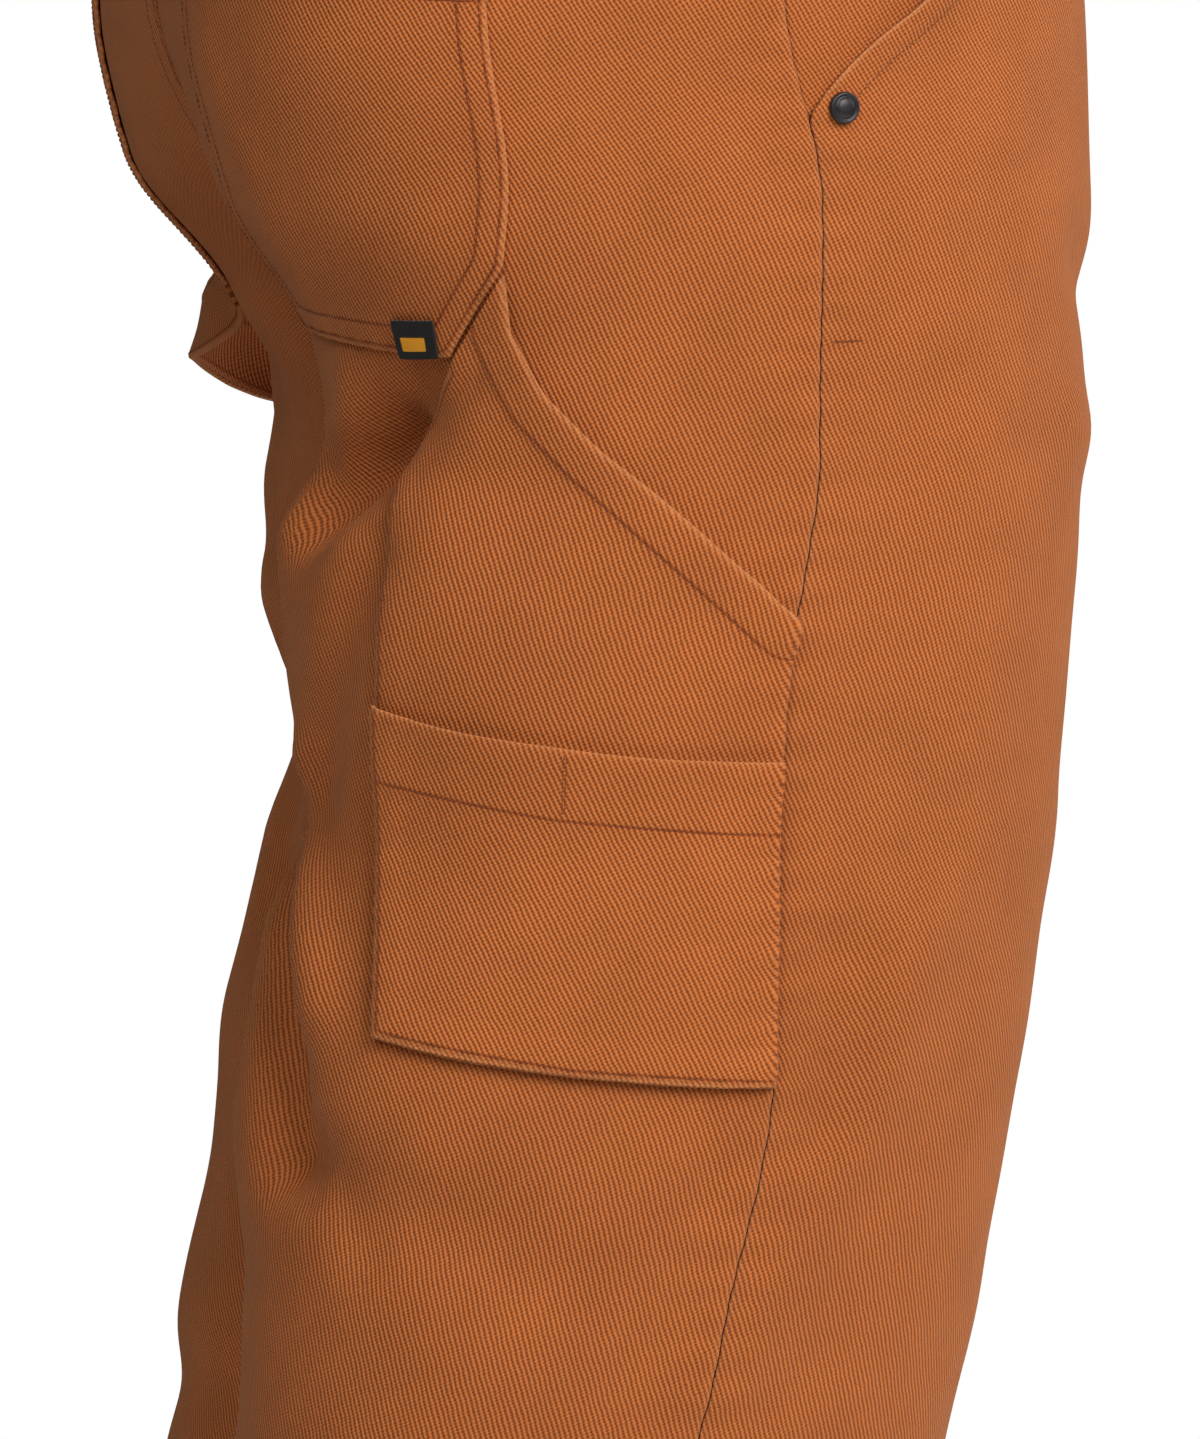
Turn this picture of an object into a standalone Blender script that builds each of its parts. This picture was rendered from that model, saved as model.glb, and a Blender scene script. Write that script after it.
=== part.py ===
"""Carpenter pants in heavy cotton twill, hollow and in the form they take when worn.

The wearer faces -Y, so the right leg is at -X and +Z is up. The origin is the middle of the waist.
Places on the cloth are given as on a cutting table: `s` is metres of cloth from the side seam,
minus towards the front and plus towards the back, and `z` is the height.
"""

from collections import namedtuple

import bmesh
import bpy
import numpy as np
from mathutils import Matrix, Vector

# Driving dimensions, in metres
CLOTH = 0.0012
SEAM_GAP = 0.0004
LAY_GAP = 0.0005
POCKET_GAP = 0.0011
WAIST_TOP = 0.020
WAIST_BOTTOM = -0.020
HEM_HEIGHT = -1.060
SQUARENESS = 2.2
RIGHT, LEFT = -1, 1
SIDES = {"right": RIGHT, "left": LEFT}

# Colours of the plain finishes, linear
TWILL = (0.45, 0.15, 0.045)
BLACK = (0.02, 0.017, 0.018)

# How finely the form is read: angles along a row, degrees either side of a point, and the distance
# from the centre seam over which the folds fade out
FINE_ANGLES = 241
LEVEL_TURN = 1.5
CENTRE_EASE = 0.03
# Distances on a panel's grid, in columns and rows, that count as none when a pocket is cut from it
CUT_SLACK = 1e-5
CUT_MERGE = 1e-3

# The form of one leg and its half of the hips, row by row. cx is the middle's distance from the
# centre plane and cy its place in depth; front, back, outer and inner are the reaches from that
# middle. seam is the side seam's angle, stride how far the left leg stands ahead of the right, and
# tilt the rise towards the back.
Section = namedtuple("Section", "z cx cy front back outer inner seam stride tilt")
SECTIONS = (
    Section(-1.060, 0.102, 0.060, 0.092, 0.091, 0.072, 0.072, 178.0, 0.016, -0.06),
    Section(-1.000, 0.102, 0.058, 0.093, 0.092, 0.072, 0.072, 178.0, 0.016, -0.05),
    Section(-0.800, 0.100, 0.050, 0.102, 0.102, 0.079, 0.077, 178.0, 0.018, 0.00),
    Section(-0.615, 0.099, 0.031, 0.113, 0.115, 0.088, 0.084, 178.0, 0.020, 0.00),
    Section(-0.540, 0.100, 0.021, 0.119, 0.121, 0.091, 0.086, 176.5, 0.032, 0.00),
    Section(-0.480, 0.100, 0.012, 0.121, 0.133, 0.093, 0.088, 174.5, 0.041, 0.00),
    Section(-0.430, 0.101, 0.004, 0.120, 0.132, 0.095, 0.090, 177.0, 0.045, 0.00),
    Section(-0.385, 0.101, 0.000, 0.121, 0.122, 0.096, 0.092, 178.5, 0.043, 0.00),
    Section(-0.330, 0.101, 0.000, 0.126, 0.128, 0.098, 0.094, 177.5, 0.042, 0.00),
    Section(-0.300, 0.100, 0.000, 0.128, 0.126, 0.099, 0.096, 175.5, 0.026, 0.00),
    Section(-0.270, 0.099, 0.000, 0.129, 0.112, 0.100, 0.0985, 174.0, 0.003, 0.00),
    Section(-0.235, 0.095, 0.000, 0.131, 0.117, 0.104, 0.108, 174.0, 0.000, 0.00),
    Section(-0.190, 0.090, 0.000, 0.133, 0.144, 0.110, 0.150, 174.0, 0.000, 0.00),
    Section(-0.135, 0.087, 0.000, 0.132, 0.155, 0.110, 0.260, 178.0, 0.000, 0.01),
    Section(-0.075, 0.085, 0.003, 0.128, 0.143, 0.105, 0.450, 180.0, 0.000, 0.05),
    Section(-0.020, 0.085, 0.005, 0.121, 0.122, 0.092, 0.600, 180.0, 0.000, 0.08),
    Section(0.030, 0.085, 0.005, 0.118, 0.116, 0.088, 0.600, 180.0, 0.000, 0.09),
)

# Rows of the panels' grids: closer where the folds and pockets are.
Stretch = namedtuple("Stretch", "top bottom rows")
ROW_STRETCHES = (
    Stretch(WAIST_BOTTOM, -0.120, 4),
    Stretch(-0.120, -0.260, 8),
    Stretch(-0.260, -0.290, 3),
    Stretch(-0.290, -0.620, 18),
    Stretch(-0.620, HEM_HEIGHT, 11),
)
PANEL_COLUMNS = 13

# The front pocket's opening: how far it lies ahead of the side seam at each height.
Edge = namedtuple("Edge", "z ahead")
FRONT_OPENING = (
    Edge(-0.163, 0.000),
    Edge(-0.152, 0.012),
    Edge(-0.140, 0.028),
    Edge(-0.128, 0.046),
    Edge(-0.105, 0.070),
    Edge(-0.075, 0.086),
    Edge(-0.045, 0.095),
    Edge(-0.020, 0.100),
)

# Folds of the cloth: a soft ridge, or a trough where depth is minus, along a line.
Fold = namedtuple("Fold", "side s z s_end z_end width depth")
FOLDS = (
    # Under the seat
    Fold(RIGHT, 0.134, -0.254, 0.180, -0.286, 0.014, -0.009),
    Fold(RIGHT, 0.165, -0.262, 0.205, -0.300, 0.016, 0.004),
    Fold(LEFT, 0.175, -0.150, 0.175, -0.245, 0.050, -0.012),
    Fold(LEFT, 0.140, -0.268, 0.240, -0.298, 0.034, -0.017),
    Fold(LEFT, 0.110, -0.300, 0.200, -0.335, 0.018, 0.005),
    # Behind the tool pocket, from the back of the thigh down to the pocket's lower corner
    Fold(RIGHT, 0.182, -0.372, 0.154, -0.440, 0.012, 0.006),
    Fold(RIGHT, 0.200, -0.385, 0.166, -0.492, 0.014, -0.015),
    Fold(RIGHT, 0.142, -0.300, 0.170, -0.385, 0.013, -0.005),
    Fold(LEFT, 0.150, -0.365, 0.205, -0.440, 0.018, -0.008),
    Fold(LEFT, 0.175, -0.350, 0.230, -0.420, 0.018, 0.006),
    # Below and over the utility pocket
    Fold(RIGHT, 0.150, -0.492, 0.060, -0.524, 0.018, -0.005),
    Fold(RIGHT, 0.122, -0.418, 0.050, -0.452, 0.026, -0.0022),
    Fold(LEFT, 0.140, -0.470, 0.040, -0.520, 0.020, -0.004),
    # Down the front beside the side seam
    Fold(RIGHT, -0.050, -0.420, -0.006, -0.556, 0.016, 0.003),
    Fold(RIGHT, -0.018, -0.425, -0.018, -0.475, 0.012, -0.003),
    Fold(LEFT, -0.060, -0.400, -0.012, -0.530, 0.017, 0.003),
    # From the crotch towards the hips
    Fold(RIGHT, -0.215, -0.262, -0.120, -0.215, 0.014, -0.004),
    Fold(RIGHT, -0.205, -0.290, -0.110, -0.262, 0.013, 0.003),
    Fold(LEFT, -0.210, -0.268, -0.130, -0.222, 0.014, -0.004),
    Fold(LEFT, -0.200, -0.300, -0.120, -0.282, 0.013, 0.003),
    # Behind the knees
    Fold(RIGHT, 0.100, -0.610, 0.230, -0.640, 0.016, -0.005),
    Fold(RIGHT, 0.120, -0.655, 0.220, -0.665, 0.018, 0.004),
    Fold(LEFT, 0.110, -0.625, 0.220, -0.605, 0.016, -0.005),
    Fold(LEFT, 0.090, -0.680, 0.210, -0.660, 0.018, 0.004),
    # Where the legs rest above the feet
    Fold(RIGHT, -0.150, -0.965, -0.040, -0.985, 0.016, -0.005),
    Fold(RIGHT, 0.030, -1.000, 0.150, -0.975, 0.018, -0.004),
    Fold(LEFT, -0.140, -0.980, -0.030, -0.960, 0.016, -0.005),
    Fold(LEFT, 0.040, -0.970, 0.140, -1.000, 0.018, -0.004),
)

# Corners of what lies on the panels, in turn from the top at the side-seam end
Corner = namedtuple("Corner", "s z")
BACK_POCKET = (
    Corner(0.089, -0.103),
    Corner(0.099, -0.208),
    Corner(0.117, -0.237),
    Corner(0.203, -0.234),
    Corner(0.220, -0.206),
    Corner(0.228, -0.100),
)
TOOL_POCKET = (
    Corner(0.001, -0.3165),
    Corner(0.001, -0.464),
    Corner(0.064, -0.459),
    Corner(0.128, -0.449),
    Corner(0.133, -0.330),
    Corner(0.142, -0.272),
    Corner(0.1178, -0.2408),
    Corner(0.0988, -0.2105),
    Corner(0.0955, -0.2280),
    Corner(0.0850, -0.2470),
    Corner(0.0680, -0.2640),
    Corner(0.0480, -0.2800),
    Corner(0.0250, -0.2980),
)
UTILITY_POCKET = (
    Corner(0.002, -0.361),
    Corner(0.002, -0.4635),
    Corner(0.064, -0.4585),
    Corner(0.1275, -0.4485),
    Corner(0.132, -0.345),
    Corner(0.066, -0.355),
)
POCKET_TAB = (
    Corner(0.1215, -0.2245),
    Corner(0.1195, -0.2365),
    Corner(0.1360, -0.2365),
    Corner(0.1370, -0.2250),
)
POCKET_CLOTH = 0.0013
TAB_CLOTH = 0.0010

# The facing behind each front pocket's opening reaches under the panel and below the opening.
FACING_UNDER = 0.016
FACING_BELOW = 0.012
FACING_ROWS = 9
FACING_COLUMNS = 7

WAISTBAND_CLOTH = 0.0028
WAISTBAND_LIFT = 0.0008
WAISTBAND_LAP = 0.024
WAISTBAND_ROWS = 3
WAISTBAND_COLUMNS = 15
WAISTBAND_LAP_COLUMNS = 61

# The hammer loop's ends on the left leg, how far its middle stands off, and where along it the
# cloth rises to lie on the back pocket
LOOP_START = Corner(0.006, -0.299)
LOOP_END = Corner(0.135, -0.235)
LOOP_WIDTH = 0.022
LOOP_REACH = 0.043
LOOP_ON_POCKET = (0.70, 0.85)
LOOP_CLOTH = 0.0024
LOOP_STEPS = 17

BeltLoop = namedtuple("BeltLoop", "name half s")
BELT_LOOPS = (
    BeltLoop("front", "front", 0.105),
    BeltLoop("side", "back", 0.035),
    BeltLoop("back", "back", 0.150),
)
BELT_LOOP_WIDTH = 0.012
BELT_LOOP_TOP = WAIST_TOP - 0.001
BELT_LOOP_BOTTOM = -0.030
BELT_LOOP_CLOTH = 0.0018
BELT_LOOP_LIFT = 0.0032
BELT_LOOP_REACH = 0.0020
BELT_LOOP_ROWS = 7
BELT_LOOP_COLUMNS = 4

# The fly's shield, behind the centre front
FLY_BOTTOM = -0.150
FLY_RIGHT = 0.034
FLY_LEFT = 0.010
FLY_BEHIND = CLOTH + 0.0018
FLY_ROWS = 10
FLY_COLUMNS = 7

RIVET = Corner(-0.0115, -0.1605)
RIVET_PROFILE = (
    (0.0, 0.0022),
    (0.0020, 0.0021),
    (0.0033, 0.0016),
    (0.0038, 0.0012),
    (0.0044, 0.0014),
    (0.0049, 0.0008),
    (0.0049, 0.0),
    (0.0, 0.0),
)
BUTTON_AHEAD = 0.012
BUTTON_PROFILE = (
    (0.0, 0.0052),
    (0.0045, 0.0050),
    (0.0060, 0.0046),
    (0.0072, 0.0052),
    (0.0084, 0.0044),
    (0.0084, 0.0030),
    (0.0035, 0.0022),
    (0.0030, 0.0),
    (0.0, 0.0),
)
TURN_STEPS = 24
TURN_MERGE = 2e-5
METAL_ROUGHNESS = 0.4
METAL_METALLIC = 0.6
COLLECTION = "carpenter_pants"


def along(table, name, z):
    """The value of a table's column at height z, on a smooth line that never overshoots its rows."""
    rows = sorted(table, key=lambda row: row.z)
    heights = np.array([row.z for row in rows])
    values = np.array([getattr(row, name) for row in rows])
    step = np.diff(heights)
    slope = np.diff(values) / step
    lean = np.concatenate([slope[:1], np.zeros(len(rows) - 2), slope[-1:]])
    product = slope[:-1] * slope[1:]
    total = slope[:-1] + slope[1:]
    lean[1:-1] = np.where(product > 0, 2 * product / np.where(total == 0, 1, total), 0)
    z = np.clip(np.asarray(z, float), heights[0], heights[-1])
    i = np.clip(np.searchsorted(heights, z, side="right") - 1, 0, len(step) - 1)
    t = (z - heights[i]) / step[i]
    return (
        values[i] * (1 + 2 * t) * (1 - t) ** 2
        + values[i + 1] * t * t * (3 - 2 * t)
        + lean[i] * step[i] * t * (1 - t) ** 2
        - lean[i + 1] * step[i] * t * t * (1 - t)
    )


def form(side, angle, z):
    """Points of the bare form; at 0 degrees the inside of the leg, 90 front, 180 outside, 270 back."""
    angle, z = np.broadcast_arrays(np.asarray(angle, float), np.asarray(z, float))
    inwards, ahead = np.cos(np.radians(angle)), np.sin(np.radians(angle))
    reach = {name: along(SECTIONS, name, z) for name in Section._fields[1:]}
    power = 2 / SQUARENESS
    wide = np.where(inwards > 0, reach["inner"], reach["outer"])
    deep = np.where(ahead > 0, reach["front"], reach["back"])
    x = reach["cx"] - wide * np.sign(inwards) * np.abs(inwards) ** power
    x = np.maximum(x, SEAM_GAP / 2)
    y = reach["cy"] - deep * np.sign(ahead) * np.abs(ahead) ** power
    if side == LEFT:
        y = y - reach["stride"]
    return np.stack([side * x, y, z + reach["tilt"] * y], axis=-1)


def outward(side, angle, z):
    """The level direction out of the cloth at each point."""
    angle = np.asarray(angle)
    line = form(side, angle + LEVEL_TURN, z) - form(side, angle - LEVEL_TURN, z)
    way = side * np.stack([line[..., 1], -line[..., 0], 0 * line[..., 0]], axis=-1)
    return way / np.maximum(np.linalg.norm(way, axis=-1, keepdims=True), 1e-9)


def end_angle(half, z):
    """Where a row of cloth ends: at the centre seam above the crotch, at the inseam below it."""
    share = np.minimum(1, along(SECTIONS, "cx", z) / along(SECTIONS, "inner", z))
    angle = np.degrees(np.arccos(share ** (SQUARENESS / 2)))
    return angle if half == "front" else 360 - angle


def fold_height(side, s, z):
    """How far the folds lift the cloth at s and z."""
    height = np.zeros(np.broadcast(s, z).shape)
    for fold in FOLDS:
        if fold.side != side:
            continue
        run, rise = fold.s_end - fold.s, fold.z_end - fold.z
        t = ((s - fold.s) * run + (z - fold.z) * rise) / (run * run + rise * rise)
        t = np.clip(t, 0, 1)
        off = np.hypot(s - fold.s - t * run, z - fold.z - t * rise)
        height += fold.depth * np.exp(-((off / fold.width) ** 2))
    return height


class Cloth:
    """A stretch of one leg's cloth: a grid of points in rows from the top down."""

    def __init__(self, side, half, rows, columns, start=0.0, end=None, lift=0.0):
        """start and end are metres of cloth from the side seam; with no end it runs to the next seam."""
        self.side, self.half = side, half
        self.rows = np.asarray(rows, float)
        start = np.broadcast_to(start, self.rows.shape)
        share = np.linspace(0, 1, columns)
        self.s = np.zeros((len(self.rows), columns))
        self.angle = np.zeros_like(self.s)
        for i, z in enumerate(self.rows):
            fine = np.linspace(along(SECTIONS, "seam", z), end_angle(half, z), FINE_ANGLES)
            line = form(side, fine, z)
            arc = np.concatenate([[0], np.cumsum(np.linalg.norm(np.diff(line, axis=0), axis=1))])
            last = arc[-1] - SEAM_GAP / 2 if end is None else np.broadcast_to(end, self.rows.shape)[i]
            first = max(start[i], SEAM_GAP / 2)
            self.s[i] = first + (last - first) * share
            self.angle[i] = np.interp(self.s[i], arc, fine)
        if half == "front":
            self.s *= -1
        z = self.rows[:, None]
        level = outward(side, self.angle, z)
        bare = form(side, self.angle, z)
        near_centre = np.clip(np.abs(bare[..., :1]) / CENTRE_EASE, 0, 1)
        height = fold_height(side, self.s, z)[..., None] * near_centre + lift
        self.points = bare + level * height
        self.points[..., 0] = side * np.maximum(side * self.points[..., 0], SEAM_GAP / 2)
        down, aside = np.gradient(self.points, axis=0), np.gradient(self.points, axis=1)
        normal = np.cross(aside, down)
        normal *= np.sign((normal * level).sum(axis=-1, keepdims=True))
        self.normal = normal / np.maximum(np.linalg.norm(normal, axis=-1, keepdims=True), 1e-12)

    def index(self, s, z):
        """The column and row, with their fractions, of a place on the cloth."""
        row = np.interp(-z, -self.rows, np.arange(len(self.rows)))
        i = min(int(row), len(self.rows) - 2)
        line = self.s[i] + (self.s[i + 1] - self.s[i]) * (row - i)
        way = 1 if line[-1] > line[0] else -1
        return float(np.interp(way * s, way * line, np.arange(len(line)))), row

    def out(self):
        """The mean way out of the cloth."""
        return self.normal.reshape(-1, 3).mean(axis=0)

    def at(self, column, row, lift):
        """A point of the cloth between four of its grid's points, moved out by lift."""
        j = min(int(column), self.points.shape[1] - 2)
        i = min(int(row), self.points.shape[0] - 2)
        a, b = column - j, row - i
        found = []
        for grid in (self.points, self.normal):
            upper = grid[i, j] * (1 - a) + grid[i, j + 1] * a
            lower = grid[i + 1, j] * (1 - a) + grid[i + 1, j + 1] * a
            found.append(upper * (1 - b) + lower * b)
        return Vector(found[0] + found[1] * lift)


def panel_rows():
    """The heights of the panels' rows, from the waist to the hem."""
    rows = [ROW_STRETCHES[0].top]
    for part in ROW_STRETCHES:
        rows += list(np.linspace(part.top, part.bottom, part.rows + 1)[1:])
    return np.array(rows)


def opening_ahead(z):
    """How far the front pocket's opening lies ahead of the side seam."""
    return np.where(np.asarray(z) < FRONT_OPENING[0].z, 0, along(FRONT_OPENING, "ahead", z))


def clear_scene():
    """Removes what the scene holds."""
    for item in list(bpy.data.objects):
        bpy.data.objects.remove(item)


def finish_material(name, colour, roughness, metallic=0.0):
    """A plain finish for one sub-part."""
    material = bpy.data.materials.new(name)
    material.use_nodes = True
    shader = material.node_tree.nodes["Principled BSDF"]
    shader.inputs["Base Color"].default_value = (*colour, 1)
    shader.inputs["Roughness"].default_value = roughness
    shader.inputs["Metallic"].default_value = metallic
    return material


def add_object(name, mesh, colour, roughness=0.85, metallic=0.0):
    """Puts a sub-part in the part's collection, with a finish of its own."""
    thing = bpy.data.objects.new(name, mesh)
    mesh.materials.append(finish_material(name, colour, roughness, metallic))
    mesh.shade_smooth()
    bpy.data.collections[COLLECTION].objects.link(thing)
    return thing


def give_wall(thing, wall):
    """Gives a sheet its thickness, inwards from its outer face."""
    solid = thing.modifiers.new("Wall", "SOLIDIFY")
    solid.thickness = wall
    solid.offset = -1
    return thing


def sheet(name, points, out, wall, colour=TWILL):
    """A piece of cloth through a grid of points; its faces look along out, or stay as they are."""
    rows, columns = points.shape[:2]
    bm = bmesh.new()
    bmesh.ops.create_grid(bm, x_segments=columns - 1, y_segments=rows - 1, size=1)
    for vert, point in zip(bm.verts, points.reshape(-1, 3)):
        vert.co = point
    return finish_sheet(name, bm, out, wall, colour)


def finish_sheet(name, bm, out, wall, colour):
    """Turns the faces of a sheet outwards, gives it its wall and makes it an object."""
    bm.normal_update()
    middle = sum((face.normal * face.calc_area() for face in bm.faces), Vector())
    if out is not None and middle.dot(Vector(out)) < 0:
        bmesh.ops.reverse_faces(bm, faces=bm.faces)
    mesh = bpy.data.meshes.new(name)
    bm.to_mesh(mesh)
    bm.free()
    return give_wall(add_object(name, mesh, colour), wall)


def within(place, outline):
    """Whether a place lies inside a flat outline, which may bend inwards."""
    inside = False
    for a, b in zip(outline, outline[1:] + outline[:1]):
        if (a.y > place.y) != (b.y > place.y):
            if place.x < a.x + (b.x - a.x) * (place.y - a.y) / (b.y - a.y):
                inside = not inside
    return inside


def patch(name, cloth, corners, lift, wall, colour=TWILL):
    """A piece that lies on a panel: its grid, cut to an outline and moved out by lift."""
    outline = [Vector((*cloth.index(*corner), 0)) for corner in corners]
    rows, columns = cloth.points.shape[:2]
    bm = bmesh.new()
    bmesh.ops.create_grid(bm, x_segments=columns - 1, y_segments=rows - 1, size=1)
    for vert in bm.verts:
        vert.co = (vert.index % columns, vert.index // columns, 0)
    centre = sum(outline, Vector()) / len(outline)
    for a, b in zip(outline, outline[1:] + outline[:1]):
        away = Vector((b.y - a.y, a.x - b.x, 0)).normalized()
        if away.dot(centre - a) > 0:
            away.negate()
        whole = bm.verts[:] + bm.edges[:] + bm.faces[:]
        convex = all(away.dot(corner - a) < CUT_SLACK for corner in outline)
        bmesh.ops.bisect_plane(
            bm, geom=whole, dist=CUT_SLACK, plane_co=a, plane_no=away, clear_outer=convex
        )
    outer = [face for face in bm.faces if not within(face.calc_center_median(), outline)]
    bmesh.ops.delete(bm, geom=outer, context="FACES")
    bmesh.ops.remove_doubles(bm, verts=bm.verts, dist=CUT_MERGE)
    for vert in bm.verts:
        vert.co = cloth.at(vert.co.x, vert.co.y, lift)
    out = cloth.normal[int(centre.y), int(centre.x)]
    return finish_sheet(name, bm, out, wall, colour)


def join_grids(parts):
    """One grid of points from stretches laid side by side."""
    return np.concatenate(parts, axis=1)


def build_panels():
    """The front and back panels of both legs."""
    rows = panel_rows()
    panels = {}
    for name, side in SIDES.items():
        for half in ("front", "back"):
            start = opening_ahead(rows) if half == "front" else 0.0
            cloth = Cloth(side, half, rows, PANEL_COLUMNS, start=start)
            sheet(f"{half}_panel_{name}", cloth.points, cloth.out(), CLOTH)
            panels[name, half] = cloth
    return panels


def build_facings():
    """The cloth that shows behind each front pocket's opening."""
    bottom = FRONT_OPENING[0].z - FACING_BELOW
    rows = np.linspace(WAIST_BOTTOM, bottom, FACING_ROWS)
    for name, side in SIDES.items():
        end = opening_ahead(rows) + FACING_UNDER
        cloth = Cloth(side, "front", rows, FACING_COLUMNS, end=end, lift=-CLOTH - LAY_GAP)
        sheet(f"front_pocket_facing_{name}", cloth.points, cloth.out(), CLOTH)


def build_waistband():
    """The waistband, open at the centre front, where its left end laps over the right."""
    rows = np.linspace(WAIST_TOP, WAIST_BOTTOM + SEAM_GAP, WAISTBAND_ROWS)
    runs = {}
    for side in (RIGHT, LEFT):
        for half in ("front", "back"):
            cloth = Cloth(side, half, rows, WAISTBAND_COLUMNS, lift=WAISTBAND_LIFT)
            runs[side, half] = cloth.points
    over = WAISTBAND_LIFT + WAISTBAND_CLOTH + LAY_GAP
    lap = Cloth(RIGHT, "front", rows, WAISTBAND_LAP_COLUMNS, lift=over)
    lap_points = lap.points[:, :-1][:, np.abs(lap.points[0, :-1, 0]) < WAISTBAND_LAP][:, ::-2]
    ring = join_grids(
        [
            runs[RIGHT, "front"][:, ::-1],
            runs[RIGHT, "back"][:, 1:-1],
            runs[LEFT, "back"][:, :0:-1],
            runs[LEFT, "front"][:, :-2],
            lap_points,
        ]
    )
    return sheet("waistband", ring, None, WAISTBAND_CLOTH)


def build_patches(panels):
    """The pockets that lie on the back panels, and the tab on the right back pocket."""
    on_panel = POCKET_GAP + POCKET_CLOTH
    for name in SIDES:
        patch(f"back_pocket_{name}", panels[name, "back"], BACK_POCKET, on_panel, POCKET_CLOTH)
    right = panels["right", "back"]
    patch("tool_pocket", right, TOOL_POCKET, on_panel, POCKET_CLOTH)
    patch("utility_pocket", right, UTILITY_POCKET, 2 * on_panel, POCKET_CLOTH)
    patch("pocket_tab", right, POCKET_TAB, on_panel + LAY_GAP + TAB_CLOTH, TAB_CLOTH, BLACK)


def build_hammer_loop(panels):
    """The strap on the left leg that a hammer hangs in: it stands off the leg between its two ends."""
    cloth = panels["left", "back"]
    share = np.linspace(0, 1, LOOP_STEPS)
    across = np.linspace(-0.5, 0.5, 3) * LOOP_WIDTH
    points = np.zeros((len(across), len(share), 3))
    way = Vector((LOOP_END.s - LOOP_START.s, LOOP_END.z - LOOP_START.z)).normalized()
    for i, t in enumerate(share):
        rise = (LOOP_REACH * np.sin(np.pi * t) ** 2) + LAY_GAP + LOOP_CLOTH
        rise += np.interp(t, LOOP_ON_POCKET, (0, POCKET_CLOTH + 2 * LAY_GAP))
        for j, off in enumerate(across):
            s = LOOP_START.s + (LOOP_END.s - LOOP_START.s) * t - way.y * off
            z = LOOP_START.z + (LOOP_END.z - LOOP_START.z) * t + way.x * off
            points[j, i] = cloth.at(*cloth.index(s, z), rise)
    sheet("hammer_loop", points, cloth.out(), LOOP_CLOTH)


def build_fly_shield():
    """The strip behind the closed fly, which spans the centre front inside the front panels."""
    rows = np.linspace(WAIST_BOTTOM, FLY_BOTTOM, FLY_ROWS)[:, None]
    x = np.linspace(-FLY_RIGHT, FLY_LEFT, FLY_COLUMNS)[None, :]
    share = (along(SECTIONS, "cx", rows) - np.abs(x)) / along(SECTIONS, "inner", rows)
    angle = np.degrees(np.arccos(share ** (SQUARENESS / 2)))
    points = form(RIGHT, angle, rows)
    points[..., 0] = x
    points[..., 1] += FLY_BEHIND
    return sheet("fly_shield", points, (0, -1, 0), CLOTH)


def build_belt_loops():
    """The belt loops: short straps that stand off the waistband."""
    rows = np.linspace(BELT_LOOP_TOP, BELT_LOOP_BOTTOM, BELT_LOOP_ROWS)
    t = np.linspace(0, 1, BELT_LOOP_ROWS)[:, None, None]
    for loop in BELT_LOOPS:
        for name, side in SIDES.items():
            start, end = loop.s - BELT_LOOP_WIDTH / 2, loop.s + BELT_LOOP_WIDTH / 2
            cloth = Cloth(side, loop.half, rows, BELT_LOOP_COLUMNS, start=start, end=end)
            rise = BELT_LOOP_LIFT + BELT_LOOP_REACH * np.sin(np.pi * t)
            points = cloth.points + cloth.normal * rise
            title = f"belt_loop_{loop.name}_{name}"
            sheet(title, points, cloth.out(), BELT_LOOP_CLOTH)


def turned(name, profile, place, out, colour, roughness, metallic=0.0):
    """A turned piece: its profile of radius and height, set on the cloth with its axis along out."""
    mesh = bpy.data.meshes.new(name)
    mesh.from_pydata([(r, 0, h) for r, h in profile], [(i, i + 1) for i in range(len(profile) - 1)], [])
    thing = add_object(name, mesh, colour, roughness, metallic)
    spin = thing.modifiers.new("Turn", "SCREW")
    spin.steps = TURN_STEPS
    spin.render_steps = TURN_STEPS
    spin.use_merge_vertices = True
    spin.merge_threshold = TURN_MERGE
    turn = Vector(out).to_track_quat("Z", "Y").to_matrix().to_4x4()
    thing.matrix_world = Matrix.Translation(place) @ turn
    return thing


def build_rivets_and_button(panels):
    """The rivet at the foot of each front pocket's opening, and the waistband's button."""
    for name in SIDES:
        cloth = panels[name, "front"]
        column, row = cloth.index(RIVET.s, RIVET.z)
        place = cloth.at(column, row, LAY_GAP)
        out = cloth.at(column, row, 1) - cloth.at(column, row, 0)
        turned(f"rivet_{name}", RIVET_PROFILE, place, out, BLACK, METAL_ROUGHNESS, METAL_METALLIC)
    above = WAISTBAND_LIFT + WAISTBAND_CLOTH + 2 * LAY_GAP
    spot = form(RIGHT, end_angle("front", 0.0), 0.0)
    place = Vector((-BUTTON_AHEAD, spot[1] - above, 0.0))
    turned("waist_button", BUTTON_PROFILE, place, (0, -1, 0), BLACK, METAL_ROUGHNESS, METAL_METALLIC)


def main():
    """Builds the pants."""
    clear_scene()
    collection = bpy.data.collections.new(COLLECTION)
    bpy.context.scene.collection.children.link(collection)
    panels = build_panels()
    build_facings()
    build_waistband()
    build_fly_shield()
    build_patches(panels)
    build_hammer_loop(panels)
    build_belt_loops()
    build_rivets_and_button(panels)


main()
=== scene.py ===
"""Carpenter pants in brown cotton twill: cloth, sewing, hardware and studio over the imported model.

The wearer faces -Y, so the right leg is at -X and +Z is up. Places on the cloth are given as on a
cutting table: `s` is metres of cloth from the side seam, minus towards the front and plus towards
the back, and `z` is the height.
"""

import math
from collections import namedtuple
from functools import cache

import bmesh
import bpy
import numpy as np
from mathutils import Matrix, Vector


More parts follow.
